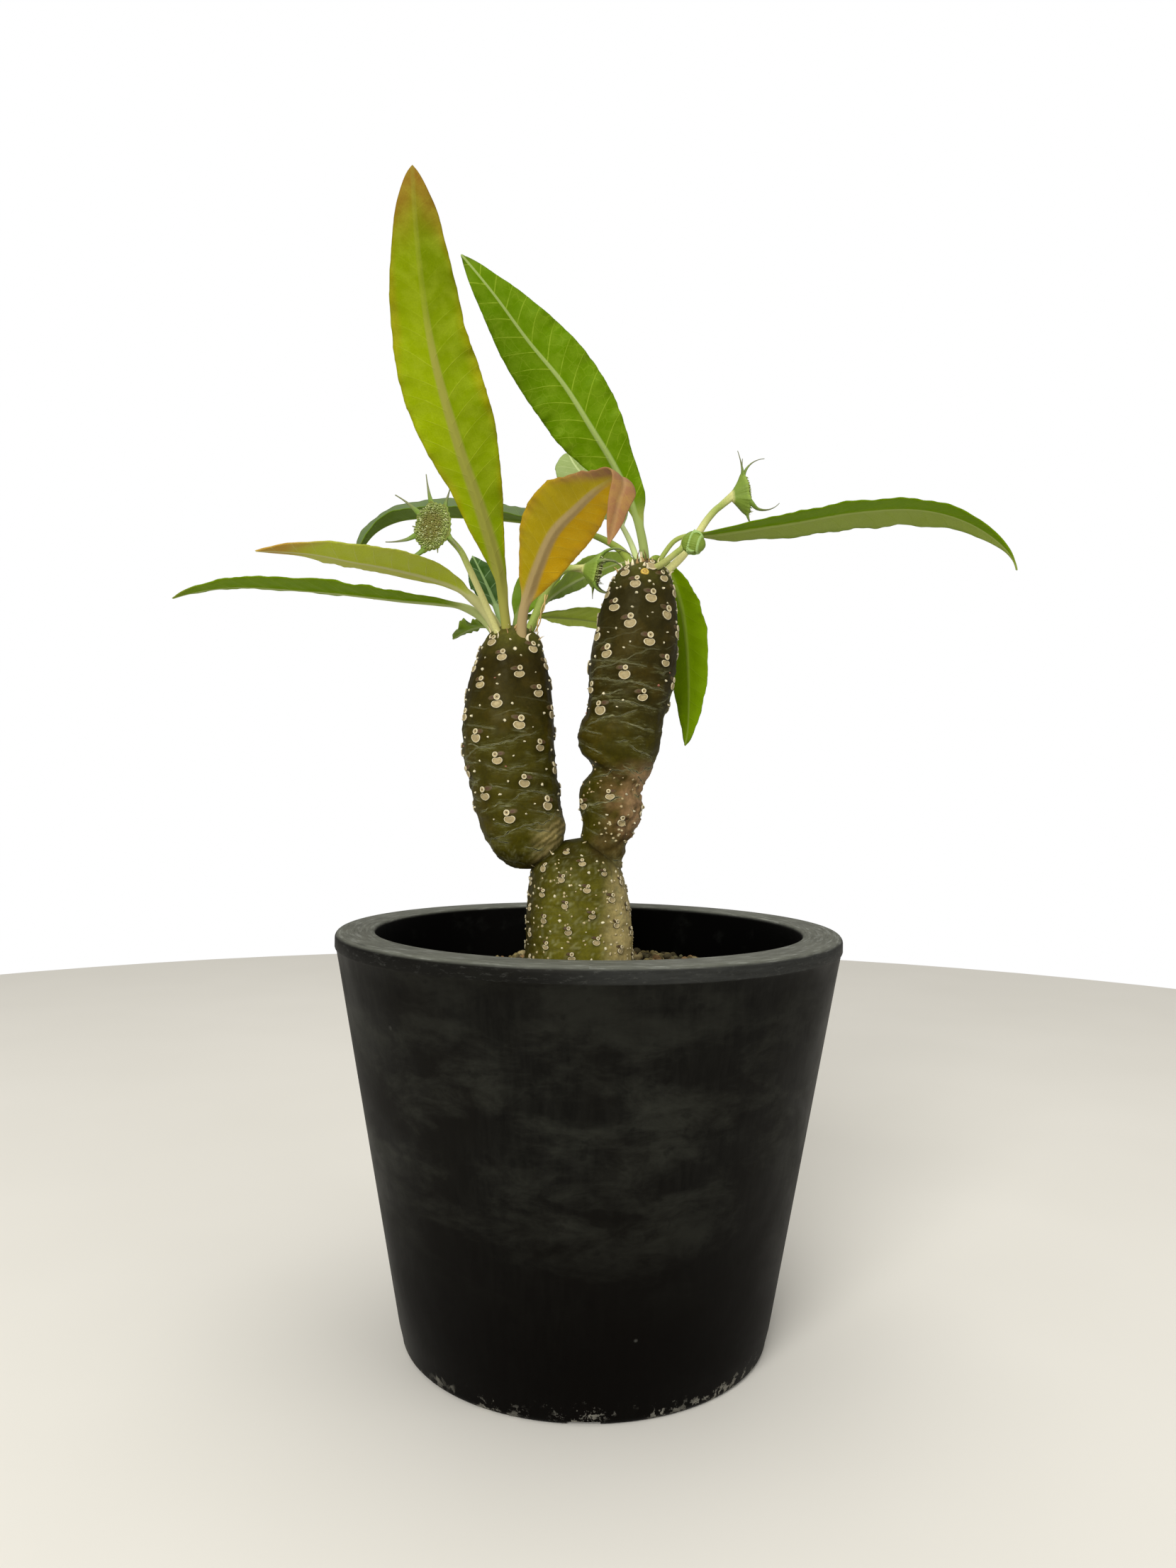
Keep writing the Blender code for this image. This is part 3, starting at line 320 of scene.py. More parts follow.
EDGE_THICKNESS = 0.22
RIB_DEPTH = 0.8
VEIN_SPACING = 4.6
LEAST_HALF_WIDTH = 0.25
# What the shaders know of each point of a leaf: how far it is from the rib and along the leaf in millimetres,
# its share of the blade's length, its place between side veins, and whether it is blade or stalk
LEAF_MARKS = ("reach", "run", "along", "vein_phase", "blade")

# Each leaf's colours: upper side, underside, edge, tip, rib, stalk and veins, the share where the tip's
# colour starts, how strongly the edge takes its colour, and how much painted shade darkens its outer part
USUAL_LOOK = dict(slot="leaf_green", gloss=0.09, net=0.45, rib_widths=(0.85, 0.26), painted_outer_shade=0, tip_lean=0)
LEAF_LOOKS = {
    # The tall leaf's underside tones, lighter on one half than the other, hold the glow of light shining
    # through the blade, painted in
    "leaf_left_tall": dict(
        slot="leaf_yellow", top=(128, 150, 20), under=(140, 160, 2), other=(124, 146, 2), edge=(154, 142, 12),
        tip=(132, 94, 30), rib=(148, 146, 68), stalk=(170, 162, 112), vein=(180, 192, 60), tip_from=0.85,
        edging=0.7, rib_widths=(1.75, 0.5), net=0.34, painted_outer_shade=0.30, plain_from=0.62),
    # The amber leaf's underside tones hold its own amber together with the glow of light shining through the
    # blade, painted in
    "leaf_left_amber": dict(
        slot="leaf_amber", top=(178, 140, 40), under=(176, 154, 4), other=(206, 162, 16), edge=(186, 138, 40),
        tip=(148, 104, 72), rib=(168, 146, 104), stalk=(178, 168, 126), vein=(204, 184, 64), tip_from=0.69,
        edging=0.5, rib_widths=(1.7, 0.5), net=0.45, tip_lean=0.12, plain_from=0.60),
    "leaf_left_blush": dict(
        slot="leaf_yellow", top=(146, 160, 62), under=(186, 190, 84), other=(180, 192, 56),
        edge=(180, 182, 74), tip=(180, 142, 58), rib=(190, 190, 132), stalk=(190, 190, 130),
        vein=(186, 190, 116), tip_from=0.78, edging=0.4, gloss=0.04),
    "leaf_left_long": dict(
        top=(98, 124, 12), under=(126, 152, 30), other=(108, 140, 0), edge=(104, 132, 4),
        tip=(110, 122, 40), rib=(170, 182, 118), stalk=(182, 184, 124), vein=(146, 170, 56), tip_from=0.93,
        edging=0.4, gloss=0.03),
    "leaf_left_young": dict(
        top=(44, 78, 22), under=(104, 132, 50), edge=(76, 106, 50), tip=(76, 100, 44),
        rib=(136, 162, 104), stalk=(160, 172, 120), vein=(128, 160, 108), tip_from=0.9, edging=0.5,
        rib_widths=(0.55, 0.25), net=0.9),
    "leaf_left_small": dict(
        top=(60, 84, 20), under=(118, 148, 34), edge=(130, 146, 70), tip=(104, 124, 40),
        rib=(150, 168, 96), stalk=(150, 166, 96), vein=(134, 158, 64), tip_from=0.9, edging=0.5),
    "leaf_left_middle": dict(
        top=(116, 150, 30), under=(106, 134, 26), edge=(120, 150, 40), tip=(104, 124, 40),
        rib=(140, 158, 84), stalk=(122, 138, 54), vein=(128, 152, 60), tip_from=0.9, edging=0.5),
    "leaf_left_rear": dict(
        top=(86, 112, 14), under=(162, 190, 76), edge=(150, 178, 66), tip=(140, 164, 66),
        rib=(190, 204, 136), stalk=(150, 164, 92), vein=(112, 138, 34), tip_from=0.92, edging=0.4),
    "leaf_left_low": dict(
        top=(80, 106, 14), under=(192, 214, 76), edge=(154, 180, 58), tip=(104, 124, 40),
        rib=(160, 176, 84), stalk=(150, 166, 90), vein=(150, 172, 60), tip_from=0.92, edging=0.4, gloss=0.04),
    "leaf_right_tall": dict(
        top=(84, 112, 12), under=(90, 124, 0), edge=(84, 114, 2), tip=(78, 104, 20),
        rib=(150, 168, 98), stalk=(170, 172, 100), vein=(154, 176, 52), tip_from=0.95, edging=0.3, net=0.7),
    "leaf_right_level": dict(
        top=(86, 112, 8), under=(104, 138, 0), other=(146, 162, 76), edge=(94, 124, 2),
        tip=(112, 130, 40), rib=(154, 168, 88), stalk=(142, 144, 78), vein=(134, 156, 34), tip_from=0.92,
        edging=0.3, gloss=0.03),
    "leaf_right_drooping": dict(
        top=(84, 114, 4), under=(122, 156, 2), edge=(106, 140, 4), tip=(88, 112, 10),
        rib=(138, 162, 56), stalk=(160, 168, 98), vein=(130, 156, 34), tip_from=0.95, edging=0.3, gloss=0.05),
    # One half of this leaf's upper side, top, carries a painted blue-grey sheen; top_other is the green of
    # the other half
    "leaf_right_far_left": dict(
        top=(92, 110, 74), top_other=(96, 132, 30), under=(90, 118, 8),
        edge=(110, 130, 66), tip=(104, 84, 44), rib=(132, 148, 60), stalk=(140, 148, 80),
        vein=(112, 136, 60), tip_from=0.94, edging=0.35),
    "leaf_right_pale": dict(
        top=(142, 162, 92), under=(140, 164, 84), edge=(140, 160, 92), tip=(136, 154, 84),
        rib=(184, 198, 138), stalk=(168, 170, 92), vein=(184, 198, 140), tip_from=0.95, edging=0.3, net=0.8),
}

# Blooms, as in the part's source: stalk, centre, facing, half-sizes, and arms as (angle on the head, angle
# they turn to, length, lean). Styles are how many florets have one, and their shortest and longest reach
USUAL_BLOOM = dict(deep=1.0, thick=1.0, greener=0.0, folded=False, styles=(0.10, 0.4, 1.0))
BLOOMS = {
    "bloom_left_open": dict(
        stalk=((-22.2, -3.2, 166.0), (-24.6, -6.5, 171.5), (-26.4, -10.0, 175.6), (-28.6, -14.5, 180.4),
               (-30.2, -16.8, 183.6), (-32.8, -17.6, 186.4)),
        centre=(-36.1, -19.0, 188.5), facing=(-0.55, -0.83, 0.05), across=5.2, up=5.3,
        arms=((100, 105, 7.4, 0), (142, 142, 8.0, 12), (172, 172, 1.2, 0), (194, 206, 6.8, 40),
              (246, 230, 8.2, 40), (285, 285, 0.9, 0), (334, 316, 5.0, 0), (50, 70, 4.6, 0))),
    "bloom_left_side": dict(
        stalk=((-15.8, -0.3, 166.4), (-13.6, 1.6, 172.4), (-11.9, 2.6, 177.0), (-9.6, 3.2, 181.0),
               (-7.3, 3.5, 183.4), (-4.6, 3.7, 184.3)),
        centre=(0.9, 3.8, 183.1), facing=(0.97, -0.10, -0.22), across=3.3, up=4.1,
        styles=(0.10, 0.6, 1.6), deep=2.2, thick=1.35, greener=0.8,
        arms=((92, 92, 7.8, 78), (150, 150, 4.0, 60), (45, 60, 6.0, 105), (225, 262, 6.0, 80),
              (268, 268, 2.6, 8), (320, 320, 3.5, 50))),
    "bloom_right_tall": dict(
        stalk=((16.0, 1.7, 181.6), (18.8, 2.6, 184.0), (22.0, 4.0, 187.4), (25.9, 6.0, 193.4),
               (28.6, 7.6, 197.6), (31.2, 8.8, 200.5), (33.7, 9.6, 201.9)),
        centre=(38.0, 11.2, 204.1), facing=(0.93, 0.20, 0.12), across=2.8, up=4.7, deep=2.1, thick=1.2,
        arms=((97, 97, 6.4, -8), (82, 82, 5.0, 8), (88, 88, 7.2, 48), (35, 35, 4.0, 10), (205, 248, 7.2, 78),
              (268, 268, 4.0, 14), (320, 320, 3.0, 30))),
    "bloom_right_young": dict(
        stalk=((14.2, -3.3, 182.6), (15.8, -6.2, 183.0), (17.6, -8.8, 183.9), (19.2, -10.6, 185.0),
               (20.5, -11.5, 186.0)),
        centre=(22.5, -12.2, 187.1), facing=(0.90, -0.32, -0.28), across=2.4, up=2.5,
        folded=True, thick=1.0, greener=0.4,
        arms=((100, 100, 2.6, 120), (234, 234, 1.6, 110), (306, 306, 1.8, 100), (25, 25, 2.4, 120))),
}
HEAD_SIDES = 84
HEAD_STALK_ROWS = 34
ARM_SIDES = 10
ARM_ROWS = 14
ARM_RADIUS = 0.85
ARM_TIP_RADIUS = 0.14
FLORETS_PER_MM2 = 4.2
GOLDEN_ANGLE = math.pi * (3 - math.sqrt(5))
BLOOM_TONES = dict(
    stalk=(206, 204, 134), cone=(118, 142, 48), rim=(134, 158, 62), disc=(112, 118, 48),
    floret=(150, 164, 90), middle=(134, 130, 68), pale=(200, 206, 150), tip=(124, 128, 90),
    arm=(114, 142, 50), folded=(156, 186, 110))
# A head's rings as (depth, share of its outline, tone). A head that is still folded is a closed ball with two
# pale ridges round it
HEAD_PROFILE = (
    (-0.45, 0.26, "stalk"), (-0.36, 0.40, "cone"), (-0.26, 0.58, "cone"), (-0.16, 0.76, "cone"),
    (-0.08, 0.90, "cone"), (0.0, 0.99, "rim"), (0.05, 1.0, "rim"), (0.08, 0.975, "disc"),
    (0.09, 0.90, "disc"), (0.12, 0.70, "disc"), (0.15, 0.40, "disc"), (0.16, 0.15, "disc"))
FOLDED_PROFILE = (
    (-0.90, 0.24, "stalk"), (-0.74, 0.52, "cone"), (-0.5, 0.78, "cone"), (-0.25, 0.92, "cone"),
    (-0.05, 0.96, "cone"), (0.02, 1.08, "folded"), (0.12, 1.06, "folded"), (0.2, 0.96, "cone"),
    (0.5, 0.92, "cone"), (0.78, 0.83, "cone"), (0.86, 0.90, "folded"), (0.98, 0.84, "folded"),
    (1.06, 0.68, "cone"), (1.28, 0.46, "cone"), (1.42, 0.18, "cone"))


def display(red, green, blue):
    """A linear colour from display values of 0 to 255."""
    linear = []
    for value in (red, green, blue):
        share = value / 255
        linear.append(share / 12.92 if share <= 0.04045 else ((share + 0.055) / 1.055) ** 2.4)
    return np.array(linear)


def unit(vector):
    return vector / np.linalg.norm(vector)


def ease(value, low, high):
    """From 0 to 1 as the value goes from low to high, smoothly."""
    share = np.clip((np.asarray(value, float) - low) / (high - low), 0, 1)
    return share * share * (3 - 2 * share)


def blend(share, first, second):
    """Colours between the first and the second, one for each share."""
    share = np.asarray(share, float)[..., None]
    return first * (1 - share) + second * share


def mottle(points, size, seed=0.0):
    """Smooth noise from -1 to 1 at each point, in lumps of about this many millimetres."""
    offset = Vector((seed * 17.3, seed * 5.1, -seed * 9.7))
    return np.array([noise.fractal(Vector(p) / size + offset, 0.6, 2.1, 3) for p in points])


def turns(sides):
    """Equal angles all the way round."""
    return [math.tau * k / sides for k in range(sides)]


def cubic(u, span, start, start_slope, end, end_slope):
    """The smooth step from start to end with these slopes, at a share u of its span."""
    return (
        (2 * u**3 - 3 * u**2 + 1) * start
        + (u**3 - 2 * u**2 + u) * span * start_slope
        + (3 * u**2 - 2 * u**3) * end
        + (u**3 - u**2) * span * end_slope
    )


class Graph:
    """A material's nodes, made by short calls that each give back an output, and its colour so far."""

    def __init__(self, name, roughness, specular, tint=(1.0, 1.0, 1.0)):
        self.material = bpy.data.materials.new(name)
        self.material.use_nodes = True
        self.tree = self.material.node_tree
        self.shader = self.tree.nodes["Principled BSDF"]
        self.shader.inputs["Roughness"].default_value = roughness
        self.shader.inputs["Specular IOR Level"].default_value = specular
        self.shader.inputs["Specular Tint"].default_value = (*tint, 1.0)
        self.colour = None

    def put(self, socket, value):
        if isinstance(value, bpy.types.NodeSocket):
            self.tree.links.new(value, socket)
        elif isinstance(value, np.ndarray):
            socket.default_value = (*value, 1.0)
        else:
            socket.default_value = value

    def node(self, kind, **inputs):
        """A new node of this kind with these inputs filled."""
        node = self.tree.nodes.new(kind)
        for name, value in inputs.items():
            self.put(node.inputs[name], value)
        return node

    def attribute(self, name, output="Fac"):
        node = self.node("ShaderNodeAttribute")
        node.attribute_name = name
        return node.outputs[output]

    def paint(self):
        """The colour painted on the piece's points."""
        return self.attribute("paint", "Color")

    def place(self):
        """The point on the object, in metres."""
        return self.node("ShaderNodeTexCoord").outputs["Object"]

    def parts(self, vector):
        return self.node("ShaderNodeSeparateXYZ", Vector=vector).outputs

    def joined(self, x, y, z):
        return self.node("ShaderNodeCombineXYZ", X=x, Y=y, Z=z).outputs[0]

    def scaled(self, vector, scales):
        return self.node("ShaderNodeMapping", Vector=vector, Scale=scales).outputs[0]

    def math(self, operation, first, second=0.0, clamp=False):
        node = self.node("ShaderNodeMath")
        node.operation = operation
        node.use_clamp = clamp
        self.put(node.inputs[0], first)
        self.put(node.inputs[1], second)
        return node.outputs[0]

    def times(self, *factors):
        product = factors[0]
        for factor in factors[1:]:
            product = self.math("MULTIPLY", product, factor)
        return product

    def plus(self, first, second):
        return self.math("ADD", first, second)

    def less(self, first, second):
        return self.math("SUBTRACT", first, second)

    def size(self, value):
        """How large a number is, whatever its sign."""
        return self.math("ABSOLUTE", value)

    def ramp(self, value, low, high, at_low=0.0, at_high=1.0):
        node = self.node("ShaderNodeMapRange")
        node.interpolation_type = "SMOOTHSTEP"
        for index, number in enumerate((value, low, high, at_low, at_high)):
            self.put(node.inputs[index], number)
        return node.outputs[0]

    def noise(self, vector, scale, detail=4.0, roughness=0.6, distortion=0.0):
        node = self.node(
            "ShaderNodeTexNoise", Vector=vector, Scale=scale, Detail=detail, Roughness=roughness,
            Distortion=distortion)
        return node.outputs["Fac"]

    def warped(self, vector, scale, amount):
        """The vector pushed about by noise."""
        node = self.node("ShaderNodeTexNoise", Vector=vector, Scale=scale, Detail=3.0)
        push = self.node("ShaderNodeVectorMath")
        push.operation = "MULTIPLY_ADD"
        for index, value in enumerate((node.outputs["Color"], (amount, amount, amount), vector)):
            self.put(push.inputs[index], value)
        return push.outputs[0]

    def cells(self, vector, scale, feature="DISTANCE_TO_EDGE"):
        node = self.node("ShaderNodeTexVoronoi", Vector=vector, Scale=scale)
        node.feature = feature
        return node.outputs["Distance"]

    def mix(self, share, first, second):
        node = self.node("ShaderNodeMix")
        node.data_type = "RGBA"
        for name, value in (("Factor", share), ("A", first), ("B", second)):
            self.put(node.inputs[name], value)
        return node.outputs["Result"]

    def coat(self, share, tone, strength=None):
        """Lays a tone, in display values, over the colour so far."""
        if strength is not None:
            share = self.times(share, strength)
        self.colour = self.mix(share, self.colour, display(*tone))

    def grained(self, grain, low, high, share, tone):
        """Starts from the painted colour, and draws it towards a tone where the grain is low."""
        paint = self.paint()
        self.colour = self.mix(self.ramp(grain, low, high), self.mix(share, paint, display(*tone)), paint)

    def bump(self, height, strength, distance):
        node = self.node("ShaderNodeBump", Strength=strength, Distance=distance, Height=height)
        self.put(self.shader.inputs["Normal"], node.outputs["Normal"])

    def finish(self, roughness=None):
        self.put(self.shader.inputs["Base Color"], self.colour)
        if roughness is not None:
            self.put(self.shader.inputs["Roughness"], roughness)
        return self.material


def grainy_material(name, roughness, specular, scales, share, tone, bump, detail=3.0, coarse=0.6, high=0.75):
    """A painted skin whose fine grain takes a share of a tone, with the bump's strength and depth."""
    graph = Graph(name, roughness, specular)
    grain = graph.noise(graph.scaled(graph.place(), scales), 1.0, detail, coarse)
    graph.grained(grain, 0.3, high, share, tone)
    graph.bump(grain, *bump)
    return graph.finish()


def add_object(name, data):
    """A new object with this data, in the scene."""
    obj = bpy.data.objects.new(name, data)
    bpy.context.scene.collection.objects.link(obj)
    return obj


def add_layers(mesh, values, paint):
    """Gives a mesh's points their values and their painted colour for the shaders."""
    for key, numbers in values.items():
        layer = mesh.attributes.new(key, "FLOAT", "POINT")
        layer.data.foreach_set("value", np.asarray(numbers, np.float32).ravel())
    layer = mesh.attributes.new("paint", "FLOAT_COLOR", "POINT")
    solid = np.concatenate([paint, np.ones((len(paint), 1))], axis=1)
    layer.data.foreach_set("color", solid.astype(np.float32).ravel())


def shade(mesh, sharp):
    """Smooth shading, with edges over this many degrees kept sharp."""
    mesh.shade_smooth()
    if sharp is not None:
        mesh.set_sharp_from_angle(angle=math.radians(sharp))


def make_mesh(name, points, faces, material, values=None, paint=None, sharp=None):
    """A piece from points in millimetres, smooth shaded, with values and a painted colour at its points."""
    mesh = bpy.data.meshes.new(name)
    mesh.from_pydata((np.asarray(points, float) * MM).tolist(), [], faces)
    if paint is not None:
        add_layers(mesh, values or {}, paint)
    mesh.materials.append(material)
    shade(mesh, sharp)
    return add_object(name, mesh)


def settle(obj, slot, *nodes):
    """Puts the piece on the one body, and lets it stand for these solids. The slot is not used."""
    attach(obj, "root")
    if nodes:
        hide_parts(*nodes)


def tube_faces(rings, sides):
    """Quads between rings of points."""
    faces = []
    for i in range(rings - 1):
        for j in range(sides):
            a, b = i * sides + j, i * sides + (j + 1) % sides
            faces.append((a, b, b + sides, a + sides))
    return faces


def capped(rings, foot, top):
    """Points and faces of a closed tube through rings, with a fan at each end."""
    sides = len(rings[0])
    points = [p for ring in rings for p in ring] + [foot, top]
    faces = tube_faces(len(rings), sides)
    last = (len(rings) - 1) * sides
    foot_at, top_at = len(points) - 2, len(points) - 1
    for j in range(sides):
        k = (j + 1) % sides
        faces.append((foot_at, k, j))
        faces.append((top_at, last + j, last + k))
    return points, faces


class Heap:
    """Collects small meshes with painted colours into one piece."""

    def __init__(self):
        self.points, self.faces, self.paint = [], [], []

    def add(self, points, faces, colours):
        start = len(self.points)
        self.points.extend(points)
        self.faces.extend(tuple(start + k for k in face) for face in faces)
        colours = np.asarray(colours, float)
        if colours.ndim == 1:
            colours = np.repeat(colours[None], len(points), axis=0)
        self.paint.extend(colours)

    def add_tube(self, path, radii, sides, flat, beyond, colours, first=(0.0, 0.0, 1.0)):
        """Adds a closed tube along a path, whose tip is a little beyond its last ring."""
        rings, places, ways = tube_along(path, radii, sides, flat, first)
        self.add(*capped(rings, places[0], places[-1] + ways[-1] * beyond), colours)

    def make(self, name, material, sharp=None):
        return make_mesh(name, self.points, self.faces, material, paint=np.array(self.paint), sharp=sharp)


def smooth_curve(points, shares):
    """Places and directions at these shares of the length of a smooth curve, and that length."""
    points = np.array(points, float)
    steps = np.sqrt(np.linalg.norm(np.diff(points, axis=0), axis=1))
    knots = np.concatenate([[0], np.cumsum(steps)])
    slopes = np.gradient(points, knots, axis=0, edge_order=2)
    t = np.linspace(0, knots[-1], CURVE_SAMPLES)
    i = np.clip(np.searchsorted(knots, t, side="right") - 1, 0, len(knots) - 2)
    span = (knots[i + 1] - knots[i])[:, None]
    u = (t[:, None] - knots[i][:, None]) / span
    curve = cubic(u, span, points[i], slopes[i], points[i + 1], slopes[i + 1])
    length = np.concatenate([[0], np.cumsum(np.linalg.norm(np.diff(curve, axis=0), axis=1))])
    at = np.asarray(shares) * length[-1]
    places, ahead, behind = (
        np.stack([np.interp(at + shift, length, curve[:, k]) for k in range(3)], axis=1)
        for shift in (0.0, WAY_STEP, -WAY_STEP))
    return places, np.array([unit(step) for step in ahead - behind]), length[-1]


def tube_along(path, radii, sides, flat, first):
    """Rings along a smooth path, as round or flattened as flat says, with their places and ways."""
    places, ways, _ = smooth_curve(path, np.linspace(0, 1, len(radii)))
    side = np.array(first, float)
    if abs(side @ ways[0]) > 0.95:
        side = np.array([1.0, 0.0, 0.0])
    rings = []
    for place, way, radius in zip(places, ways, radii):
        side = unit(side - way * (side @ way))
        other = np.cross(side, way)
        ring = [other * math.cos(angle) + side * flat * math.sin(angle) for angle in turns(sides)]
        rings.append([place + radius * out for out in ring])
    return rings, places, ways


def quarter(steps):
    """The sine and cosine of each step of a quarter turn."""
    angles = [math.pi / 2 * k / steps for k in range(steps + 1)]
    return [(math.sin(angle), math.cos(angle)) for angle in angles]


def pot_profile():
    """The pot's outline as (radius, height), from under its middle out, up, over the rim and down inside."""
    slope = (RIM_RADIUS - RIM_STEP - BASE_RADIUS) / BAND_FOOT
    corner = BASE_RADIUS - BASE_CORNER
    outline = [(0, 0), (BASE_RADIUS * 0.6, 0), (corner, 0)]
    outline += [
        (corner + CORNER_REACH * sine, CORNER_TOP - CORNER_TOP * cosine) for sine, cosine in quarter(5)[1:]]
    for k in range(1, WALL_ROWS):
        height = CORNER_TOP + (BAND_FOOT - 2.0) * k / WALL_ROWS
        outline.append((BASE_RADIUS + slope * height, height))
    outline += [
        (RIM_RADIUS - RIM_STEP, BAND_FOOT - 0.25), (RIM_RADIUS - 0.1, BAND_FOOT),
        (RIM_RADIUS, BAND_FOOT + 0.3)]
    outline += [
        (RIM_RADIUS - RIM_ROUND + RIM_ROUND * cosine, POT_HEIGHT - RIM_ROUND + RIM_ROUND * sine)
        for sine, cosine in quarter(6)]
    outline.append(((RIM_RADIUS + MOUTH_RADIUS) / 2, POT_HEIGHT))
    outline += [
        (MOUTH_RADIUS + MOUTH_ROUND - MOUTH_ROUND * sine, POT_HEIGHT - MOUTH_ROUND + MOUTH_ROUND * cosine)
        for sine, cosine in quarter(5)]
    for k in range(1, INNER_ROWS + 1):
        height = POT_HEIGHT - MOUTH_ROUND - (POT_HEIGHT - MOUTH_ROUND - FLOOR_THICKNESS) * k / INNER_ROWS
        outline.append((inner_radius(height), height))
    return outline + [(FLOOR_RADIUS * 0.5, FLOOR_THICKNESS), (0, FLOOR_THICKNESS)]


def inner_radius(height):
    """The radius of the pot's inner wall, which tapers from the mouth to the floor."""
    share = (height - FLOOR_THICKNESS) / (POT_HEIGHT - MOUTH_ROUND - FLOOR_THICKNESS)
    return FLOOR_RADIUS + (MOUTH_RADIUS - FLOOR_RADIUS) * share


def pot_material():
    """Matte charcoal plastic: upright streaks, a paler rim top, scuffs on the band, mineral crust at the
    foot, a pale film that also paints a soft highlight on the side, and painted shade at the foot and in the
    mouth.
    """
    graph = Graph("pot_plastic", 0.46, 0.04, (1.0, 0.93, 0.82))
    place = graph.place()
    x, y, z = graph.parts(place)
    streaks = graph.noise(graph.scaled(place, (700, 700, 60)), 1.0, 5.0, 0.65)
    clouds = graph.noise(place, 38.0, 5.0, 0.62, 0.4)
    graph.colour = graph.mix(graph.ramp(streaks, 0.3, 0.75), display(11, 11, 10), display(20, 20, 18))
    graph.coat(graph.ramp(clouds, 0.35, 0.7), (13, 12, 10))
    # A pale mottled film over the middle of the side that also paints a soft highlight there, dark spots, and
    # painted shade darkening the foot
    film_and_highlight = graph.noise(graph.warped(graph.scaled(place, (1, 1, 2.2)), 40.0, 0.02), 34.0, 6.0, 0.68)
    heights = graph.ramp(z, 0.020, 0.042), graph.ramp(z, 0.074, 0.088, 0.8, 0.4)
    graph.coat(graph.times(graph.ramp(film_and_highlight, 0.44, 0.70), *heights), (41, 42, 37))
    spots = graph.noise(graph.warped(place, 300.0, 0.003), 260.0, 3.0, 0.5)
    graph.coat(graph.ramp(spots, 0.62, 0.70, 0.0, 0.35), (6, 6, 6))
    # Painted shade: darker towards the foot
    graph.coat(graph.ramp(z, 0.062, 0.012, 0.0, 0.8), (2, 1, 1))
    # Rare pale flecks, and mineral crust at the foot
    flecks = graph.ramp(graph.cells(place, 130.0, "F1"), 0.10, 0.04)
    graph.coat(graph.times(flecks, graph.ramp(graph.noise(place, 60.0, 2.0), 0.60, 0.66)), (80, 80, 76))
    low = graph.ramp(z, 0.0075, 0.0005)
    crust = graph.noise(graph.warped(place, 500.0, 0.002), 420.0, 5.0, 0.7)
    crust_patch = graph.ramp(graph.noise(place, 75.0, 3.0), 0.42, 0.62)
    crust_edge = graph.less(0.66, graph.times(low, 0.16))
    crust = graph.ramp(graph.less(crust, crust_edge), 0.0, 0.05)
    crust = graph.math("MULTIPLY", graph.times(crust, low), crust_patch, True)
    graph.coat(crust, (118, 116, 108))
    # The rim's band, its tone lighter towards the right, with scuffs along it
    high = graph.ramp(z, BAND_FOOT * MM, (BAND_FOOT + 0.4) * MM)
    reach = graph.math("SQRT", graph.plus(graph.times(x, x), graph.times(y, y)))
    wrapped = graph.joined(graph.times(reach, 1400.0), graph.math("ARCTAN2", x, y), graph.times(z, 1400.0))
    worn = graph.noise(graph.scaled(wrapped, (1, 7, 1)), 1.0, 5.0, 0.7)
    band_tone_by_side = graph.mix(graph.ramp(x, -0.015, 0.015), display(19, 19, 18), display(50, 51, 50))
    band = graph.times(high, graph.ramp(worn, 0.3, 0.7, 0.5, 0.9))
    graph.colour = graph.mix(band, graph.colour, band_tone_by_side)
    scuffs = graph.noise(graph.scaled(place, (420, 420, 1500)), 1.0, 6.0, 0.75)
    scuffs = graph.times(graph.ramp(scuffs, 0.52, 0.75), high)
    graph.coat(scuffs, (92, 93, 90), 0.32)
    # A paler grey on top of the rim, with paler and darker streaks round it, and painted shade darkening the
    # inside of the mouth
    top = graph.ramp(z, (POT_HEIGHT - 0.9) * MM, (POT_HEIGHT - 0.1) * MM)
    rim_top_mottle = graph.ramp(graph.noise(place, 120.0, 5.0, 0.7), 0.3, 0.75, 0.75, 1.0)
    graph.coat(graph.times(top, rim_top_mottle), (104, 106, 98))
    graph.coat(graph.times(graph.ramp(worn, 0.48, 0.72), top), (146, 149, 144), 0.8)
    graph.coat(graph.times(graph.ramp(worn, 0.46, 0.30), top), (52, 54, 52), 0.6)
    # Painted shade: the inner wall just below the mouth is darkened nearly to black, with smudges
    inside = graph.times(
        graph.ramp(reach, 0.0517, 0.0509), graph.ramp(z, 0.070, 0.080),
        graph.ramp(z, (POT_HEIGHT - 0.2) * MM, (POT_HEIGHT - 1.2) * MM))
    smudges = graph.ramp(graph.noise(place, 90.0, 5.0, 0.7), 0.55, 0.75)
    smudged_mouth_shade = graph.mix(smudges, display(1, 1, 1), display(14, 15, 14))
    graph.colour = graph.mix(inside, graph.colour, smudged_mouth_shade)
    height = graph.plus(graph.times(streaks, 0.5), graph.times(crust, 1.5))
    graph.bump(graph.plus(height, graph.times(scuffs, -0.4)), 0.25, 0.0002)
    rough = graph.ramp(clouds, 0.3, 0.7, 0.40, 0.54)
    return graph.finish(graph.math("ADD", rough, graph.times(crust, 0.35), True))


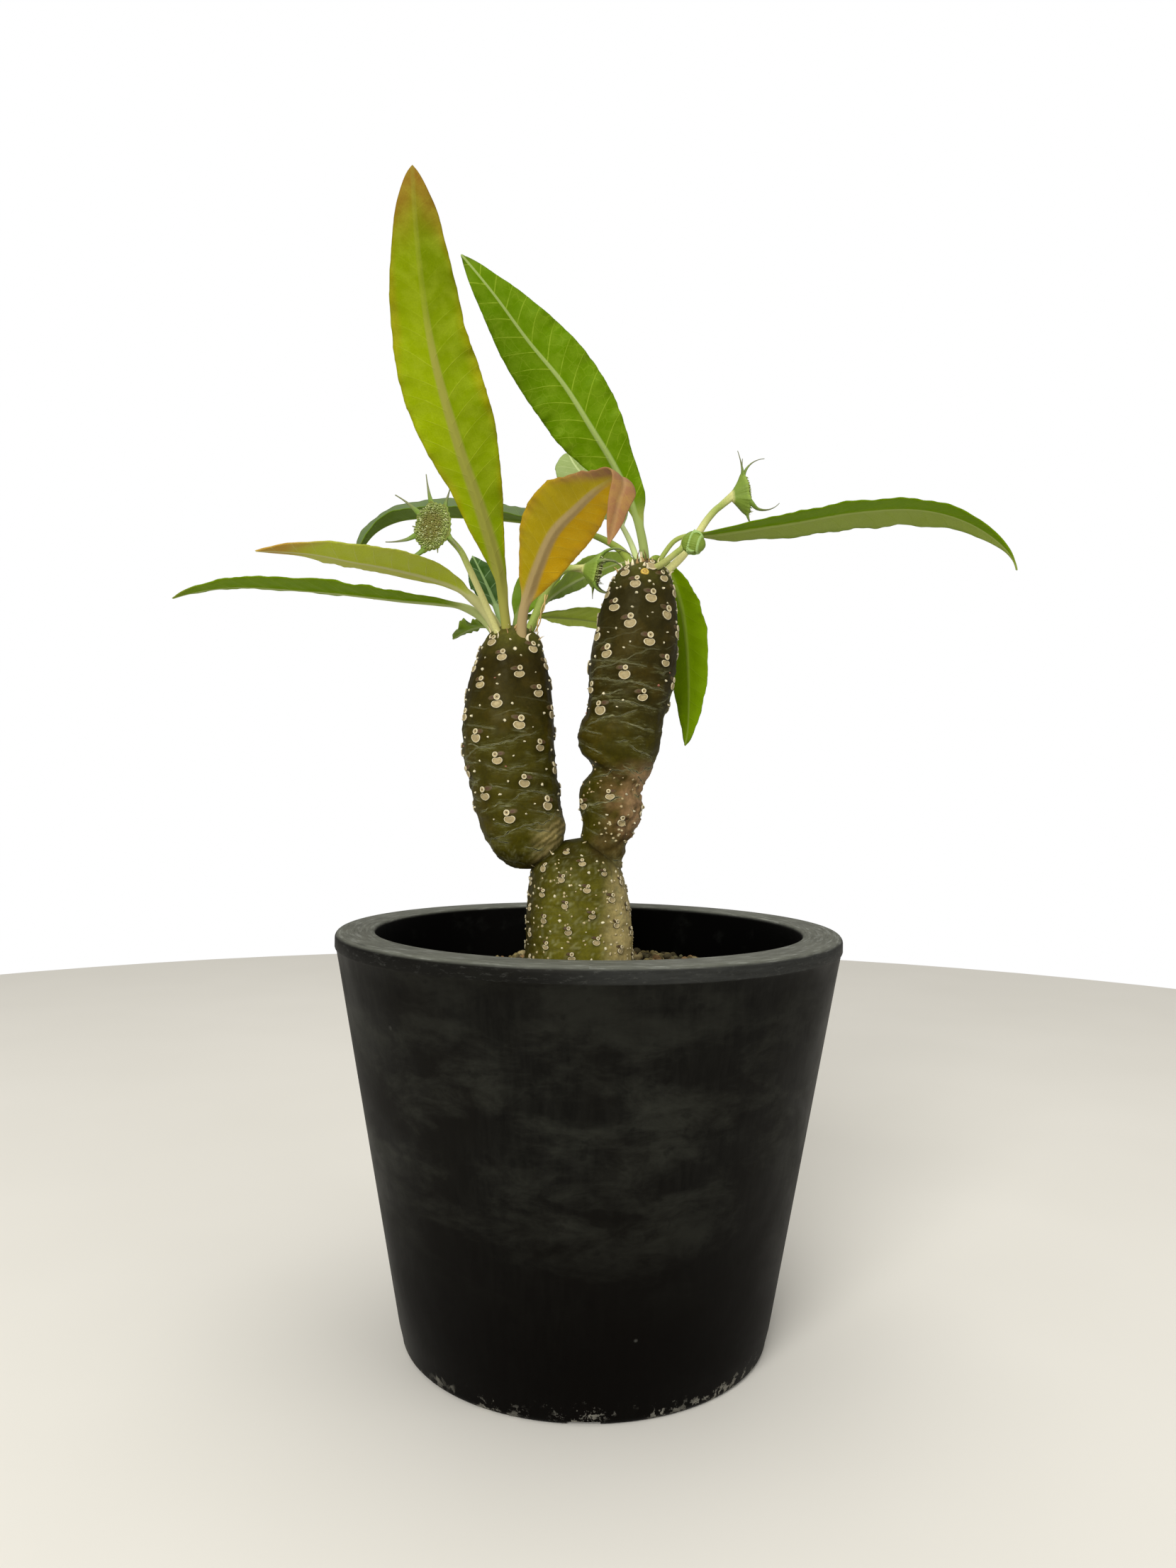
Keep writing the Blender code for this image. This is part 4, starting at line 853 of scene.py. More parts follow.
def make_pot():
    """The pot's shell, spun from its outline, with its drain holes and slots cut."""
    build = bmesh.new()
    chain = [build.verts.new((r * MM, 0, z * MM)) for r, z in pot_profile()]
    for a, b in zip(chain, chain[1:]):
        build.edges.new((a, b))
    bmesh.ops.spin(
        build, geom=build.verts[:] + build.edges[:], cent=(0, 0, 0), axis=(0, 0, 1),
        angle=math.tau, steps=POT_SIDES, use_merge=True)
    bmesh.ops.remove_doubles(build, verts=build.verts, dist=0.00001)
    bmesh.ops.recalc_face_normals(build, faces=build.faces)
    mesh = bpy.data.meshes.new("pot_shell")
    build.to_mesh(mesh)
    build.free()
    mesh.materials.append(pot_material())
    pot = add_object("pot_shell", mesh)
    combine(pot, [cutter for turn in turns(DRAINS) for cutter in drain_cutters(turn)], "DIFFERENCE")
    shade(pot.data, 35)
    settle(pot, "pot", "pot")


def drain_cutters(turn):
    """A round hole through the floor, and a shallow slot under the base from it to the edge."""
    away = Vector((math.sin(turn), -math.cos(turn), 0)) * MM
    bpy.ops.mesh.primitive_cylinder_add(
        vertices=DRAIN_HOLE_SIDES, radius=DRAIN_HOLE_RADIUS * MM, depth=DRAIN_HOLE_DEPTH * MM,
        location=away * DRAIN_HOLE_REACH)
    hole = bpy.context.active_object
    slot_length = BASE_RADIUS - DRAIN_HOLE_REACH + DRAIN_SLOT_PAST
    bpy.ops.mesh.primitive_cube_add(
        size=MM, location=away * (DRAIN_HOLE_REACH + slot_length / 2), rotation=(0, 0, turn))
    slot = bpy.context.active_object
    slot.scale = (DRAIN_SLOT_WIDTH, slot_length, 2 * DRAIN_SLOT_DEPTH)
    return [hole, slot]


def combine(obj, others, operation):
    """Cuts the others from the object or joins them to it, and removes them."""
    for other in others:
        other.hide_render = True
        other.display_type = "WIRE"
        step = obj.modifiers.new(other.name, "BOOLEAN")
        step.operation = operation
        step.object = other
    evaluated = obj.evaluated_get(bpy.context.evaluated_depsgraph_get())
    mesh = bpy.data.meshes.new_from_object(evaluated)
    obj.modifiers.clear()
    obj.data = mesh
    for other in others:
        bpy.data.objects.remove(other, do_unlink=True)


def grain_mesh():
    """The points and triangles of a ball with 80 faces, and a radius of 1."""
    build = bmesh.new()
    bmesh.ops.create_icosphere(build, subdivisions=2, radius=1.0)
    points = np.array([vertex.co for vertex in build.verts])
    faces = [tuple(vertex.index for vertex in face.verts) for face in build.faces]
    build.free()
    return points, faces


def make_grit():
    """Loose mineral grains on a bed that dips a little, packed between the stem and the pot's wall."""
    draw = random.Random(23)
    ball, faces = grain_mesh()
    heap = Heap()
    heap.add(*grit_bed(), display(30, 24, 16))
    tints = [display(*tint) for tint in GRAIN_TINTS]
    stem_x, stem_radius = TRUNK[2][0], TRUNK[2][3]
    wall = inner_radius(SOIL_TOP)
    placed = 0
    while placed < GRAINS:
        angle, reach = draw.uniform(0, math.tau), math.sqrt(draw.uniform(0.05, 1.0)) * wall
        x, y = reach * math.sin(angle), -reach * math.cos(angle)
        size = draw.uniform(*GRAIN_RADII) * draw.uniform(0.75, 1.15)
        beside = math.hypot(x - stem_x, y) - stem_radius
        if reach + size * 0.9 > wall or beside < size * 0.5:
            continue
        bed = bed_height(x, y) + 0.4 + 0.5 * noise.noise(Vector((x, y, 3.0)) / 14)
        spin = draw.uniform(0, math.tau)
        axis = Vector((draw.gauss(0, 1), draw.gauss(0, 1), draw.gauss(0, 1) + 0.01))
        stretch = np.array([draw.uniform(0.7, 1.3), draw.uniform(0.7, 1.25), draw.uniform(0.55, 0.95)])
        lumps = np.array([1 + 0.28 * noise.noise(Vector(p) * 1.4 + Vector((placed, 0, 0))) for p in ball])
        grain = (ball * lumps[:, None] * stretch * size) @ np.array(Matrix.Rotation(spin, 3, axis)).T
        grain = grain + (x, y, bed + size * draw.uniform(-0.1, 0.55))
        heap.add(list(grain), faces, draw.choice(tints) * draw.uniform(1.1, 1.95))
        placed += 1
    grit = grainy_material(
        "grit", 0.9, 0.25, scales=(1500, 1500, 1500), share=0.5, tone=(10, 8, 6), bump=(0.6, 0.0002),
        detail=4.0, coarse=0.7)
    settle(heap.make("grit_grains", grit, sharp=50), "soil", "soil")


def bed_height(x, y):
    """The top of the bed under the grains, which dips at the back left."""
    return SOIL_TOP - BED_UNDER - BED_DIP * float(ease(-x, 2, 26) * ease(y, 4, 32))


def grit_bed():
    """A closed body under the grains that fills the pot to just below them."""
    wall = inner_radius(SOIL_TOP - BED_UNDER - BED_DIP) - BED_GAP
    foot = inner_radius(BED_FOOT) - BED_GAP
    angles = turns(BED_SIDES)
    rings = [[np.array([foot * math.sin(a), -foot * math.cos(a), BED_FOOT]) for a in angles]]
    for reach in (wall, *(wall * k / BED_RINGS for k in range(BED_RINGS - 1, 1, -1))):
        edge = [(reach * math.sin(a), -reach * math.cos(a)) for a in angles]
        rings.append([np.array([x, y, bed_height(x, y)]) for x, y in edge])
    return capped(rings, np.array([0, 0, BED_FOOT]), np.array([0, 0, bed_height(0, 0)]))


def stem_at(stations, height):
    """The stem's middle, radius and ring slope at a height, eased between its stations."""
    table = np.array(stations, float)
    slopes = np.gradient(table, table[:, 2], axis=0)
    i = int(np.clip(np.searchsorted(table[:, 2], height) - 1, 0, len(table) - 2))
    span = table[i + 1, 2] - table[i, 2]
    u = min(max((height - table[i, 2]) / span, 0), 1)
    here = cubic(u, span, table[i], slopes[i], table[i + 1], slopes[i + 1])
    return here[:3], here[3], here[4]


def stem_way(angle, slope):
    """The way out from the stem's middle, on a ring that slopes."""
    return np.array([math.sin(angle), -math.cos(angle), slope * math.sin(angle)])


def stem_point(stations, height, angle):
    """A point of the stem's side and the way the side faces there. The angle is in radians."""
    middle, radius, slope = stem_at(stations, height)
    across = stem_way(angle, slope)
    below, above = stem_at(stations, height - 0.5), stem_at(stations, height + 0.5)
    growth = (above[1] - below[1]) + float((above[0] - below[0])[:2] @ across[:2])
    return middle + radius * across, unit(np.array([across[0], across[1], -growth]))


def stem_tube(name, stations, material):
    """One arm or the trunk as a fine closed tube."""
    low, high = stations[0][2], stations[-1][2]
    rings = []
    for height in np.linspace(low, high, int((high - low) / STEM_STEP) + 1):
        middle, radius, slope = stem_at(stations, height)
        rings.append([middle + radius * stem_way(angle, slope) for angle in turns(STEM_SIDES)])
    foot = np.array(stations[0][:3]) - (0, 0, STEM_ENDS[0])
    top = np.array(stations[-1][:3]) + (0, 0, STEM_ENDS[1])
    return make_mesh(name, *capped(rings, foot, top), material)


def scar_places():
    """The point, facing, half-width, stem and height of every leaf scar, by its stem's rule."""
    for stations, count, height, angle, turn, drop, growth, most, half_width in SCAR_RULES:
        for k in range(count):
            yield (*stem_point(stations, height, math.radians(angle)), half_width, stations, height)
            height -= min(drop + growth * k, most)
            angle += turn


def wound(points, stations):
    """The stem's own height at each point, the angle round it, and how far the point is off its side."""
    heights = np.linspace(stations[0][2], stations[-1][2], STEM_SAMPLES)
    rows = [stem_at(stations, height) for height in heights]
    table = np.array([(middle[0], middle[1], radius, slope) for middle, radius, slope in rows])
    height = points[:, 2].copy()
    for _ in range(3):
        x, y, radius, slope = (np.interp(height, heights, table[:, k]) for k in range(4))
        height = points[:, 2] - slope * (points[:, 0] - x)
    off = np.hypot(points[:, 0] - x, points[:, 1] - y) - radius
    beyond = np.maximum(height - heights[-1], 0) + np.maximum(heights[0] - height, 0)
    return height, np.arctan2(points[:, 0] - x, y - points[:, 1]), np.abs(off) + beyond


def wrinkle_phases(points, stations, height, angle):
    """How far round each family of wrinkles each point is: whole numbers at scars, halves at wrinkles."""
    upper = next(rule for rule in SCAR_RULES if rule[0] is stations)
    _, count, at, start, turn, drop, growth, most, _ = upper
    heights = [at]
    for k in range(2 * count):
        heights.append(heights[-1] - min(drop + growth * k, most))
    index = np.interp(height - 0.5, heights[::-1], np.arange(len(heights))[::-1])
    way = math.copysign(1, turn)
    phases = []
    for family, (_, rows, step, _, wander) in enumerate(WRINKLES):
        phase = way * (np.degrees(angle) - start) * rows / 360 + (step - way * turn * rows / 360) * index
        phase = phase + wander * mottle(points, 7.0, 8 + family)
        phases.append(phase + 0.03 * mottle(points, 1.6, 10 + family))
    return phases


def stem_marks(points):
    """Each point's wrinkle phases, its skin's age, how near it is to a crease, and whose skin it is."""
    stems = (TRUNK, LEFT_ARM, RIGHT_ARM)
    wounds = [wound(points, stations) for stations in stems]
    off = np.array([each[2] for each in wounds])
    owner = np.argmin(off, axis=0)
    crease = np.partition(off, 1, axis=0)[1]
    phases, age = np.zeros((len(WRINKLES), len(points))), np.ones(len(points))
    for index, stations in enumerate(stems):
        mine = owner == index
        height, angle, _ = (part[mine] for part in wounds[index])
        phases[:, mine] = wrinkle_phases(points[mine], stations, height, angle)
        age[mine] = TRUNK_AGE if stations is TRUNK else ease(stations[-1][2] - height, 12, 36)
    return phases, age, crease, owner


def stem_paint(points, crease, owner):
    """The skin's colour: green on the trunk, dark brown-green above, with brown, pink and corky patches; the
    corky right of the trunk is partly painted light, and the creases carry painted shade.
    """
    x, y, z = points.T
    large, small = mottle(points, 9.0, 1), mottle(points, 3.0, 2)
    crown = ease(z, 160, 167) * ease(x, -4, -8) + ease(z, 176, 184) * ease(x, -4, 4)
    bulb = ease(z, 115, 121) * ease(z, 138, 131)
    patchy = 0.75 + 0.5 * small + 0.25 * large
    network = ease(np.abs(mottle(points, 2.8, 16)), 0.15, 0.02) * ease(small, -0.5, 0.2) * ease(z, 119, 113)
    left_foot = ease(z - 0.4 * x, 129, 122) * ease(x, -15, -10) * (owner == 1)
    stripes = np.sin((z - x * 0.75) * 3.6 + 0.9 * small + 2.6 * large)
    slate, cork = (60, 56, 32), (206, 186, 126)
    coats = (
        (ease(z, 134, 158), (46, 39, 10)),
        (crown * 0.8, (92, 92, 36)),
        (ease(z, 150, 180) * ease(x, -4, 4) * 0.18, slate),
        (ease(large, 0.05, 0.5) * 0.30, (76, 62, 18)),
        (ease(small, 0.1, 0.7) * 0.18, slate),
        (np.clip(bulb * ease(x, 0, 9) * patchy, 0, 0.85), (122, 94, 62)),
        (np.clip(bulb * ease(x, 6, 12) * 0.8 * patchy, 0, 0.85), (198, 160, 120)),
        # Corky tan over the trunk's right side: real cork, and partly painted light that makes that side
        # paler
        (ease(x + 0.6 * large, 1.5, 8.0) * ease(z, 117, 106) * 0.9, cork),
        (network * 0.5, (158, 156, 108)),
        (ease(z, 121, 117) * ease(z, 111, 115) * ease(x, -2, 2) * 0.6, (84, 66, 38)),
        # Darker olive over the trunk's left side, below the left arm
        (ease(-x - 2.5, 6, 13) * ease(z, 118, 108) * 0.9, (56, 48, 16)),
        (left_foot * (0.22 + 0.45 * ease(stripes, -0.4, 0.8)), cork),
    )
    paint = blend(ease(z, 96, 128), display(102, 98, 27), display(62, 57, 5))
    for share, tone in coats:
        paint = blend(share, paint, display(*tone))
    light = 1 + 0.20 * mottle(points, 5.0, 3) + 0.10 * mottle(points, 1.6, 4)
    # Painted shade darkening the skin near the creases where the arms meet the trunk
    light = light * (0.62 + 0.38 * ease(crease + 0.5 * small, 0.1, 1.5))
    return np.clip(paint * light[:, None] * 0.94, 0.003, 1)


def stem_material():
    """Succulent skin: painted tints, wrinkles with pale fibrous edges and dark slits, pores, a waxy sheen."""
    graph = Graph("stem_skin", 0.46, 0.075, (1.0, 0.95, 0.55))
    place = graph.place()
    age = graph.attribute("age")
    fine = graph.noise(place, 1400.0, 4.0, 0.6)
    graph.grained(fine, 0.35, 0.7, 0.25, (20, 18, 6))
    wobble = graph.times(graph.less(graph.noise(place, 500.0, 4.0, 0.6), 0.5), 0.5)
    streaky = graph.noise(graph.scaled(place, (1, 1, 5)), 300.0, 5.0, 0.7)
    rough_fibre = graph.times(graph.noise(graph.scaled(place, (1, 1, 2)), 300.0, 4.0, 0.7), 9.0)
    height = graph.times(fine, 0.3)
    for (name, _, _, spacing, _), scales in zip(WRINKLES, WRINKLE_SCALES):
        turn = graph.math("ARCTAN2", graph.attribute(name + "_sine"), graph.attribute(name + "_cosine"))
        near = graph.plus(graph.times(turn, spacing / math.tau), wobble)
        off = graph.size(near)
        patches = graph.noise(graph.scaled(place, scales), 95.0, 2.0)
        shown = graph.times(graph.ramp(patches, 0.45, 0.54), age)
        veil = graph.times(graph.ramp(off, 1.9, 0.2), graph.ramp(streaky, 0.42, 0.66))
        veil = graph.times(veil, graph.times(graph.ramp(patches, 0.40, 0.54), age))
        graph.coat(veil, (122, 124, 78), 0.26)
        wave = graph.math("SINE", graph.plus(graph.times(near, 5.5), rough_fibre))
        fibre = graph.times(graph.ramp(graph.size(wave), 0.20, 0.04), veil)
        graph.coat(fibre, (150, 148, 114), 0.65)
        line = graph.times(graph.ramp(off, 0.24, 0.10), shown)
        graph.coat(line, (160, 160, 122), 0.5)
        slit = graph.times(graph.ramp(off, 0.12, 0.05), shown, graph.ramp(streaky, 0.40, 0.52))
        graph.coat(slit, (20, 17, 6), 0.9)
        raised = graph.less(graph.times(line, 0.6), graph.times(slit, 1.5))
        height = graph.plus(height, graph.plus(raised, graph.times(fibre, 0.3)))
    graph.coat(graph.ramp(graph.noise(place, 240.0, 6.0, 0.75), 0.60, 0.74), (100, 88, 52), 0.25)
    graph.bump(height, 0.55, 0.0003)
    return graph.finish(graph.ramp(graph.noise(place, 260.0, 3.0), 0.3, 0.7, 0.38, 0.56))


def stem_relief(points, phases, age):
    """How far each point of the skin is raised: swollen round scars, grooved between, lumpy on the bulb."""
    x, _, z = points.T
    spacings = np.array([spacing for _, _, _, spacing, _ in WRINKLES])
    seam = np.min(np.abs(phases % 1 - 0.5) * spacings[:, None], axis=0)
    swell = 0.20 * mottle(points, 6.0, 5) + 0.08 * mottle(points, 1.8, 6) + 0.04 * mottle(points, 0.8, 7)
    lumpy = ease(z, 116, 119) * ease(z, 134, 131) * ease(x, -4, 0) + 0.6 * ease(z, 119, 115)
    swell += lumpy * (0.40 * mottle(points, 2.6, 14) + 0.12 * mottle(points, 1.1, 15))
    swell += (0.25 + 0.75 * age) * (0.30 * (1 - np.exp(-((seam / 1.5) ** 2))) - 0.16)
    swell -= 0.16 * age * np.exp(-((seam / 0.35) ** 2)) * ease(mottle(points, 4.0, 11), -0.3, 0.3)
    return swell


def scar_shade(points):
    """How light the skin is at each point, darker close to a leaf scar."""
    tree = KDTree(len(points))
    for index, point in enumerate(points):
        tree.insert(point, index)
    tree.balance()
    light = np.ones(len(points))
    for point, _, half_width, _, _ in scar_places():
        reach = half_width * 1.7
        for _, index, distance in tree.find_range(point, reach):
            light[index] = min(light[index], 1 - 0.35 * min((1 - distance / reach) * 2, 1))
    return light


def make_stem():
    """The trunk and its two arms as one body, swollen round each scar and grooved between them."""
    material = stem_material()
    skin = stem_tube("stem_skin", TRUNK, material)
    combine(skin, [stem_tube("arm", stations, material) for stations in (LEFT_ARM, RIGHT_ARM)], "UNION")
    mesh = skin.data
    points = np.array([vertex.co for vertex in mesh.vertices]) / MM
    normals = np.array([vertex.normal for vertex in mesh.vertices])
    phases, age, crease, owner = stem_marks(points)
    # Painted shade: the trunk's skin below the arms is darkened where it faces up
    upward_shade = np.clip(normals[:, 2], 0, 1) * ease(points[:, 2], 122, 117)
    paint = stem_paint(points, crease, owner) * (1 - 0.55 * upward_shade)[:, None] * scar_shade(points)[:, None]
    values = {"age": age}
    for (name, *_), phase in zip(WRINKLES, phases):
        values[name + "_sine"] = -np.sin(math.tau * phase)
        values[name + "_cosine"] = -np.cos(math.tau * phase)
    add_layers(mesh, values, paint)
    points = points + normals * (stem_relief(points, phases, age) * ease(crease, 0, 1.2))[:, None]
    mesh.vertices.foreach_set("co", (points * MM).astype(np.float32).ravel())
    mesh.shade_smooth()
    mesh.update()
    settle(skin, "stem", "stem")
    return skin


def kidney(angle):
    """How far the leaf scar's edge lies from its middle, across and up, for a half-width of 1."""
    x, y = math.cos(angle), 0.74 * math.sin(angle)
    if y > 0:
        y -= 0.26 * math.exp(-((x / 0.42) ** 2))
    else:
        y *= 1.0 + 0.12 * (1 - abs(x))
    return x, y


def circle(sides, draw=None, rough=0.0):
    """Points round a circle of radius 1, or a little off it."""
    points = []
    for angle in turns(sides):
        reach = 1 + (draw.uniform(-rough, rough) if draw else 0)
        points.append((reach * math.cos(angle), reach * math.sin(angle)))
    return points


def surface_of(obj):
    """The object's surface, for finding where a small piece meets it."""
    points = [vertex.co for vertex in obj.data.vertices]
    return BVHTree.FromPolygons(points, [polygon.vertices for polygon in obj.data.polygons])


def scar_frame(point, facing, surface, draw):
    """A function from (across, up, out) in a scar's own frame to a point on the skin, or None off it."""
    up = unit(np.array([0, 0, 1.0]) - facing * facing[2])
    across = np.cross(up, facing)
    lean = math.radians(draw.uniform(-12, 12))
    turned_across = across * math.cos(lean) + up * math.sin(lean)
    turned_up = up * math.cos(lean) - across * math.sin(lean)

    def place(x, y, out):
        flat = point + turned_across * x + turned_up * y
        start = Vector((flat + facing * PROBE_OUT) * MM)
        hit, _, _, _ = surface.ray_cast(start, Vector(-facing), PROBE_REACH * MM)
        return None if hit is None else np.array(hit) / MM + facing * out

    return place


def add_patch(heap, place, middle, size, outline, profile):
    """A plate in a scar's frame, with the outline's share, the height and the tone of each of its rings."""
    (x0, y0), (wide, tall) = middle, size
    rings = [
        [place(x0 + x * wide * share, y0 + y * tall * share, height) for x, y in outline]
        for share, height, _ in profile]
    centre = place(x0, y0, profile[-1][1])
    if centre is None or any(point is None for ring in rings for point in ring):
        return
    sides = len(outline)
    points = [point for ring in rings for point in ring] + [centre]
    faces = tube_faces(len(rings), sides)
    last = (len(rings) - 1) * sides
    faces += [(last + j, last + (j + 1) % sides, len(points) - 1) for j in range(sides)]
    colours = [tone for _, _, tone in profile for _ in range(sides)] + [profile[-1][2]]
    heap.add(points, faces, np.array(colours))


def add_scar(heap, place, half_width, way, draw, dot_height):
    """One unit: the kidney-shaped leaf scar, the round stalk scar over it, a bud scar and two white dots."""
    tones = [display(*tone) * draw.uniform(0.85, 1.1) for tone in SCAR_TONES]
    dark, rim, floor, middle, bud, halo, dot = tones
    size = half_width * draw.uniform(0.9, 1.12) * 1.05
    tall = draw.uniform(0.82, 1.05)
    outline = [kidney(angle) for angle in turns(SCAR_SIDES)]
    bud_at, bud_size = (-0.62 * way * size, 1.18 * size), (0.80 * size, 0.42 * size)
    add_patch(heap, place, bud_at, bud_size, circle(14, draw, 0.06), (
        (1.1, -0.03, halo * 0.6), (0.9, 0.10, halo), (0.55, 0.16, halo), (0.40, 0.13, bud),
        (0.15, 0.20, bud * 0.7)))
    add_patch(heap, place, (0, 0), (size, size * tall), outline, (
        (1.10, -0.04, dark), (1.02, 0.10, dark), (0.99, 0.26, rim), (0.92, 0.33, rim), (0.84, 0.24, floor),
        (0.60, 0.20, floor), (0.35, 0.22, middle)))
    wide = 0.50 * size * draw.uniform(0.85, 1.1)
    add_patch(heap, place, (draw.uniform(0.12, 0.36) * size * way, 1.12 * size), (wide, wide), circle(16), (
        (1.14, -0.04, dark), (1.04, 0.1, dark), (0.99, 0.40, rim), (0.80, 0.45, rim), (0.62, 0.36, floor),
        (0.34, 0.35, middle), (0.2, 0.31, dark)))
    for side in (-1, 1):
        if draw.random() < 0.85:
            beside = (side * draw.uniform(3.4, 4.6), draw.uniform(-0.6, 1.0))
            add_dot(heap, place, beside, dot_height, dot, draw)


def add_dot(heap, place, middle, height, tone, draw):
    """A tiny pale spine base."""
    size = draw.uniform(0.17, 0.33)
    add_patch(heap, place, middle, (size, size * draw.uniform(0.7, 1.2)), circle(8, draw, 0.22), (
        (1.3, -0.04, tone * 0.3), (0.95, height * 0.6, tone * 0.9), (0.4, height, tone)))


def make_scars(skin):
    """All leaf scars of the stem, on its skin, and the loose dots between them."""
    draw = random.Random(5)
    surface = surface_of(skin)
    heap = Heap()
    for point, facing, half_width, stations, height in scar_places():
        mirrored = stations is not TRUNK and height < (MIRROR_LEFT if stations is LEFT_ARM else MIRROR_RIGHT)
        place = scar_frame(point, facing, surface, draw)
        if place(0, 0, 0) is not None:
            dot_height = 0.2 if stations is TRUNK else 0.4
            add_scar(heap, place, half_width, -1 if mirrored else 1, draw, dot_height)
    for stations, count, low, high, tone in LOOSE_DOTS:
        for _ in range(count):
            point, facing = stem_point(stations, draw.uniform(low, high), draw.uniform(0, math.tau))
            add_dot(heap, scar_frame(point, facing, surface, draw), (0, 0), 0.22, display(*tone), draw)
    height, angle, half_width = YELLOW_SCAR
    place = scar_frame(*stem_point(RIGHT_ARM, height, math.radians(angle)), surface, draw)
    rings = [(share, height, display(*tone)) for share, height, tone in YELLOW_RINGS]
    add_patch(heap, place, (0, 0), (half_width, half_width * 0.85), circle(16, draw, 0.08), rings)
    cork = grainy_material(
        "scar_cork", 0.6, 0.35, scales=(1800, 1800, 1800), share=0.3, tone=(70, 56, 34), bump=(0.3, 0.0001))
    settle(heap.make("stem_scars", cork), "stem")


def blade_share(share, spec):
    """How wide the blade is at this share of its length: a low power fills out its base or its tip."""
    share, widest = min(max(share, 0), 1), spec["widest"]
    base_power, tip_power = spec["powers"]
    if share < widest:
        return math.sin(math.pi / 2 * share / widest) ** base_power
    return max(math.cos(math.pi / 2 * (share - widest) / (1 - widest)), 0) ** tip_power


def leaf_material(name, look):
    """A leaf's skin: the painted blade, a pale rib, curved side veins with a net between, a soft sheen."""
    graph = Graph(name, 0.5, look["gloss"], (0.92, 1.0, 0.35))
    paint = graph.paint()
    reach, run, along, phase, blade = (graph.attribute(mark) for mark in LEAF_MARKS)
    sheet = graph.joined(reach, run, 0.0)
    off = graph.size(reach)
    fine = graph.noise(sheet, 3.2, 4.0, 0.65)
    blotch = graph.ramp(graph.noise(sheet, 0.32, 3.0, 0.55), 0.35, 0.7, 0.0, 0.35)
    graph.colour = graph.mix(blotch, paint, graph.mix(0.45, paint, display(*look["vein"])))
    graph.coat(graph.ramp(fine, 0.3, 0.75, 0.16, 0.0), (30, 44, 4))
    line = graph.size(graph.less(graph.math("FRACT", phase), 0.5))
    thin = graph.ramp(off, 0.5, 7.0, 0.052, 0.022)
    side_vein = graph.math("SUBTRACT", 1.0, graph.math("DIVIDE", line, thin), True)
    side_vein = graph.times(
        side_vein, graph.ramp(blade, 0.55, 0.95),
        graph.ramp(graph.noise(sheet, 0.6, 2.0), 0.32, 0.5, 0.35, 1.0))
    net = graph.ramp(graph.cells(graph.warped(sheet, 0.5, 1.2), 0.36), 0.05, 0.0)
    net = graph.times(net, graph.ramp(off, 1.4, 3.6, 0.0, 0.20))
    veins = graph.math("MAXIMUM", graph.times(side_vein, 0.85), net)
    rib = graph.ramp(graph.math("DIVIDE", off, graph.ramp(along, 0.0, 1.0, *look["rib_widths"])), 1.15, 0.55)
    if "plain_from" in look:
        shown = graph.ramp(along, look["plain_from"], look["plain_from"] + 0.16, 1.0, 0.2)
        veins, rib = graph.times(veins, shown), graph.times(rib, shown)
    graph.coat(veins, look["vein"], look["net"])
    graph.coat(rib, look["rib"], 0.9)
    graph.bump(graph.plus(graph.times(veins, 0.8), graph.times(fine, 0.35)), 0.35, 0.0002)
    return graph.finish()


def make_leaf(name, spec, look):
    """One leaf as a fine closed sheet: stalk, rib, waved blade with quilted veins, edges thinned."""
    spec, look = {**USUAL_LEAF, **spec}, {**USUAL_LOOK, **look}
    tones = {part: display(*look[part]) for part in ("top", "under", "edge", "tip", "stalk")}
    tones["other"] = display(*look.get("other", look["under"]))
    tones["top_other"] = display(*look.get("top_other", look["top"]))
    stalk = spec["stalk"]
    shares = [stalk * k / STALK_ROWS for k in range(STALK_ROWS)]
    shares += [stalk + (1 - stalk) * k / LEAF_ROWS for k in range(LEAF_ROWS + 1)]
    places, ways, length = smooth_curve(spec["midrib"], shares)
    faces = np.array(spec["face"], float)
    stations = np.linspace(0, 1, len(faces))
    shift = random.Random(name).uniform(0, 50)
    rings, marks, paint = [], [], []
    for share, place, way in zip(shares, places, ways):
        up = np.array([np.interp(share, stations, faces[:, k]) for k in range(3)])
        up = unit(up - way * (up @ way))
        along = (share - stalk) / (1 - stalk)
        ring, ring_marks, tints = leaf_ring(
            spec, look, tones, place, np.cross(way, up), up, along, share * length, shift)
        rings.append(ring)
        marks += ring_marks
        paint += tints
    points, quads = capped(rings, places[0], places[-1] + ways[-1] * 0.25)
    marks += [marks[0], marks[-1]]
    paint += [paint[0], paint[-1]]
    values = dict(zip(LEAF_MARKS, np.array(marks).T))
    skin = leaf_material(name + "_skin", look)
    settle(make_mesh(name + "_blade", points, quads, skin, values, np.array(paint)), look["slot"], name)


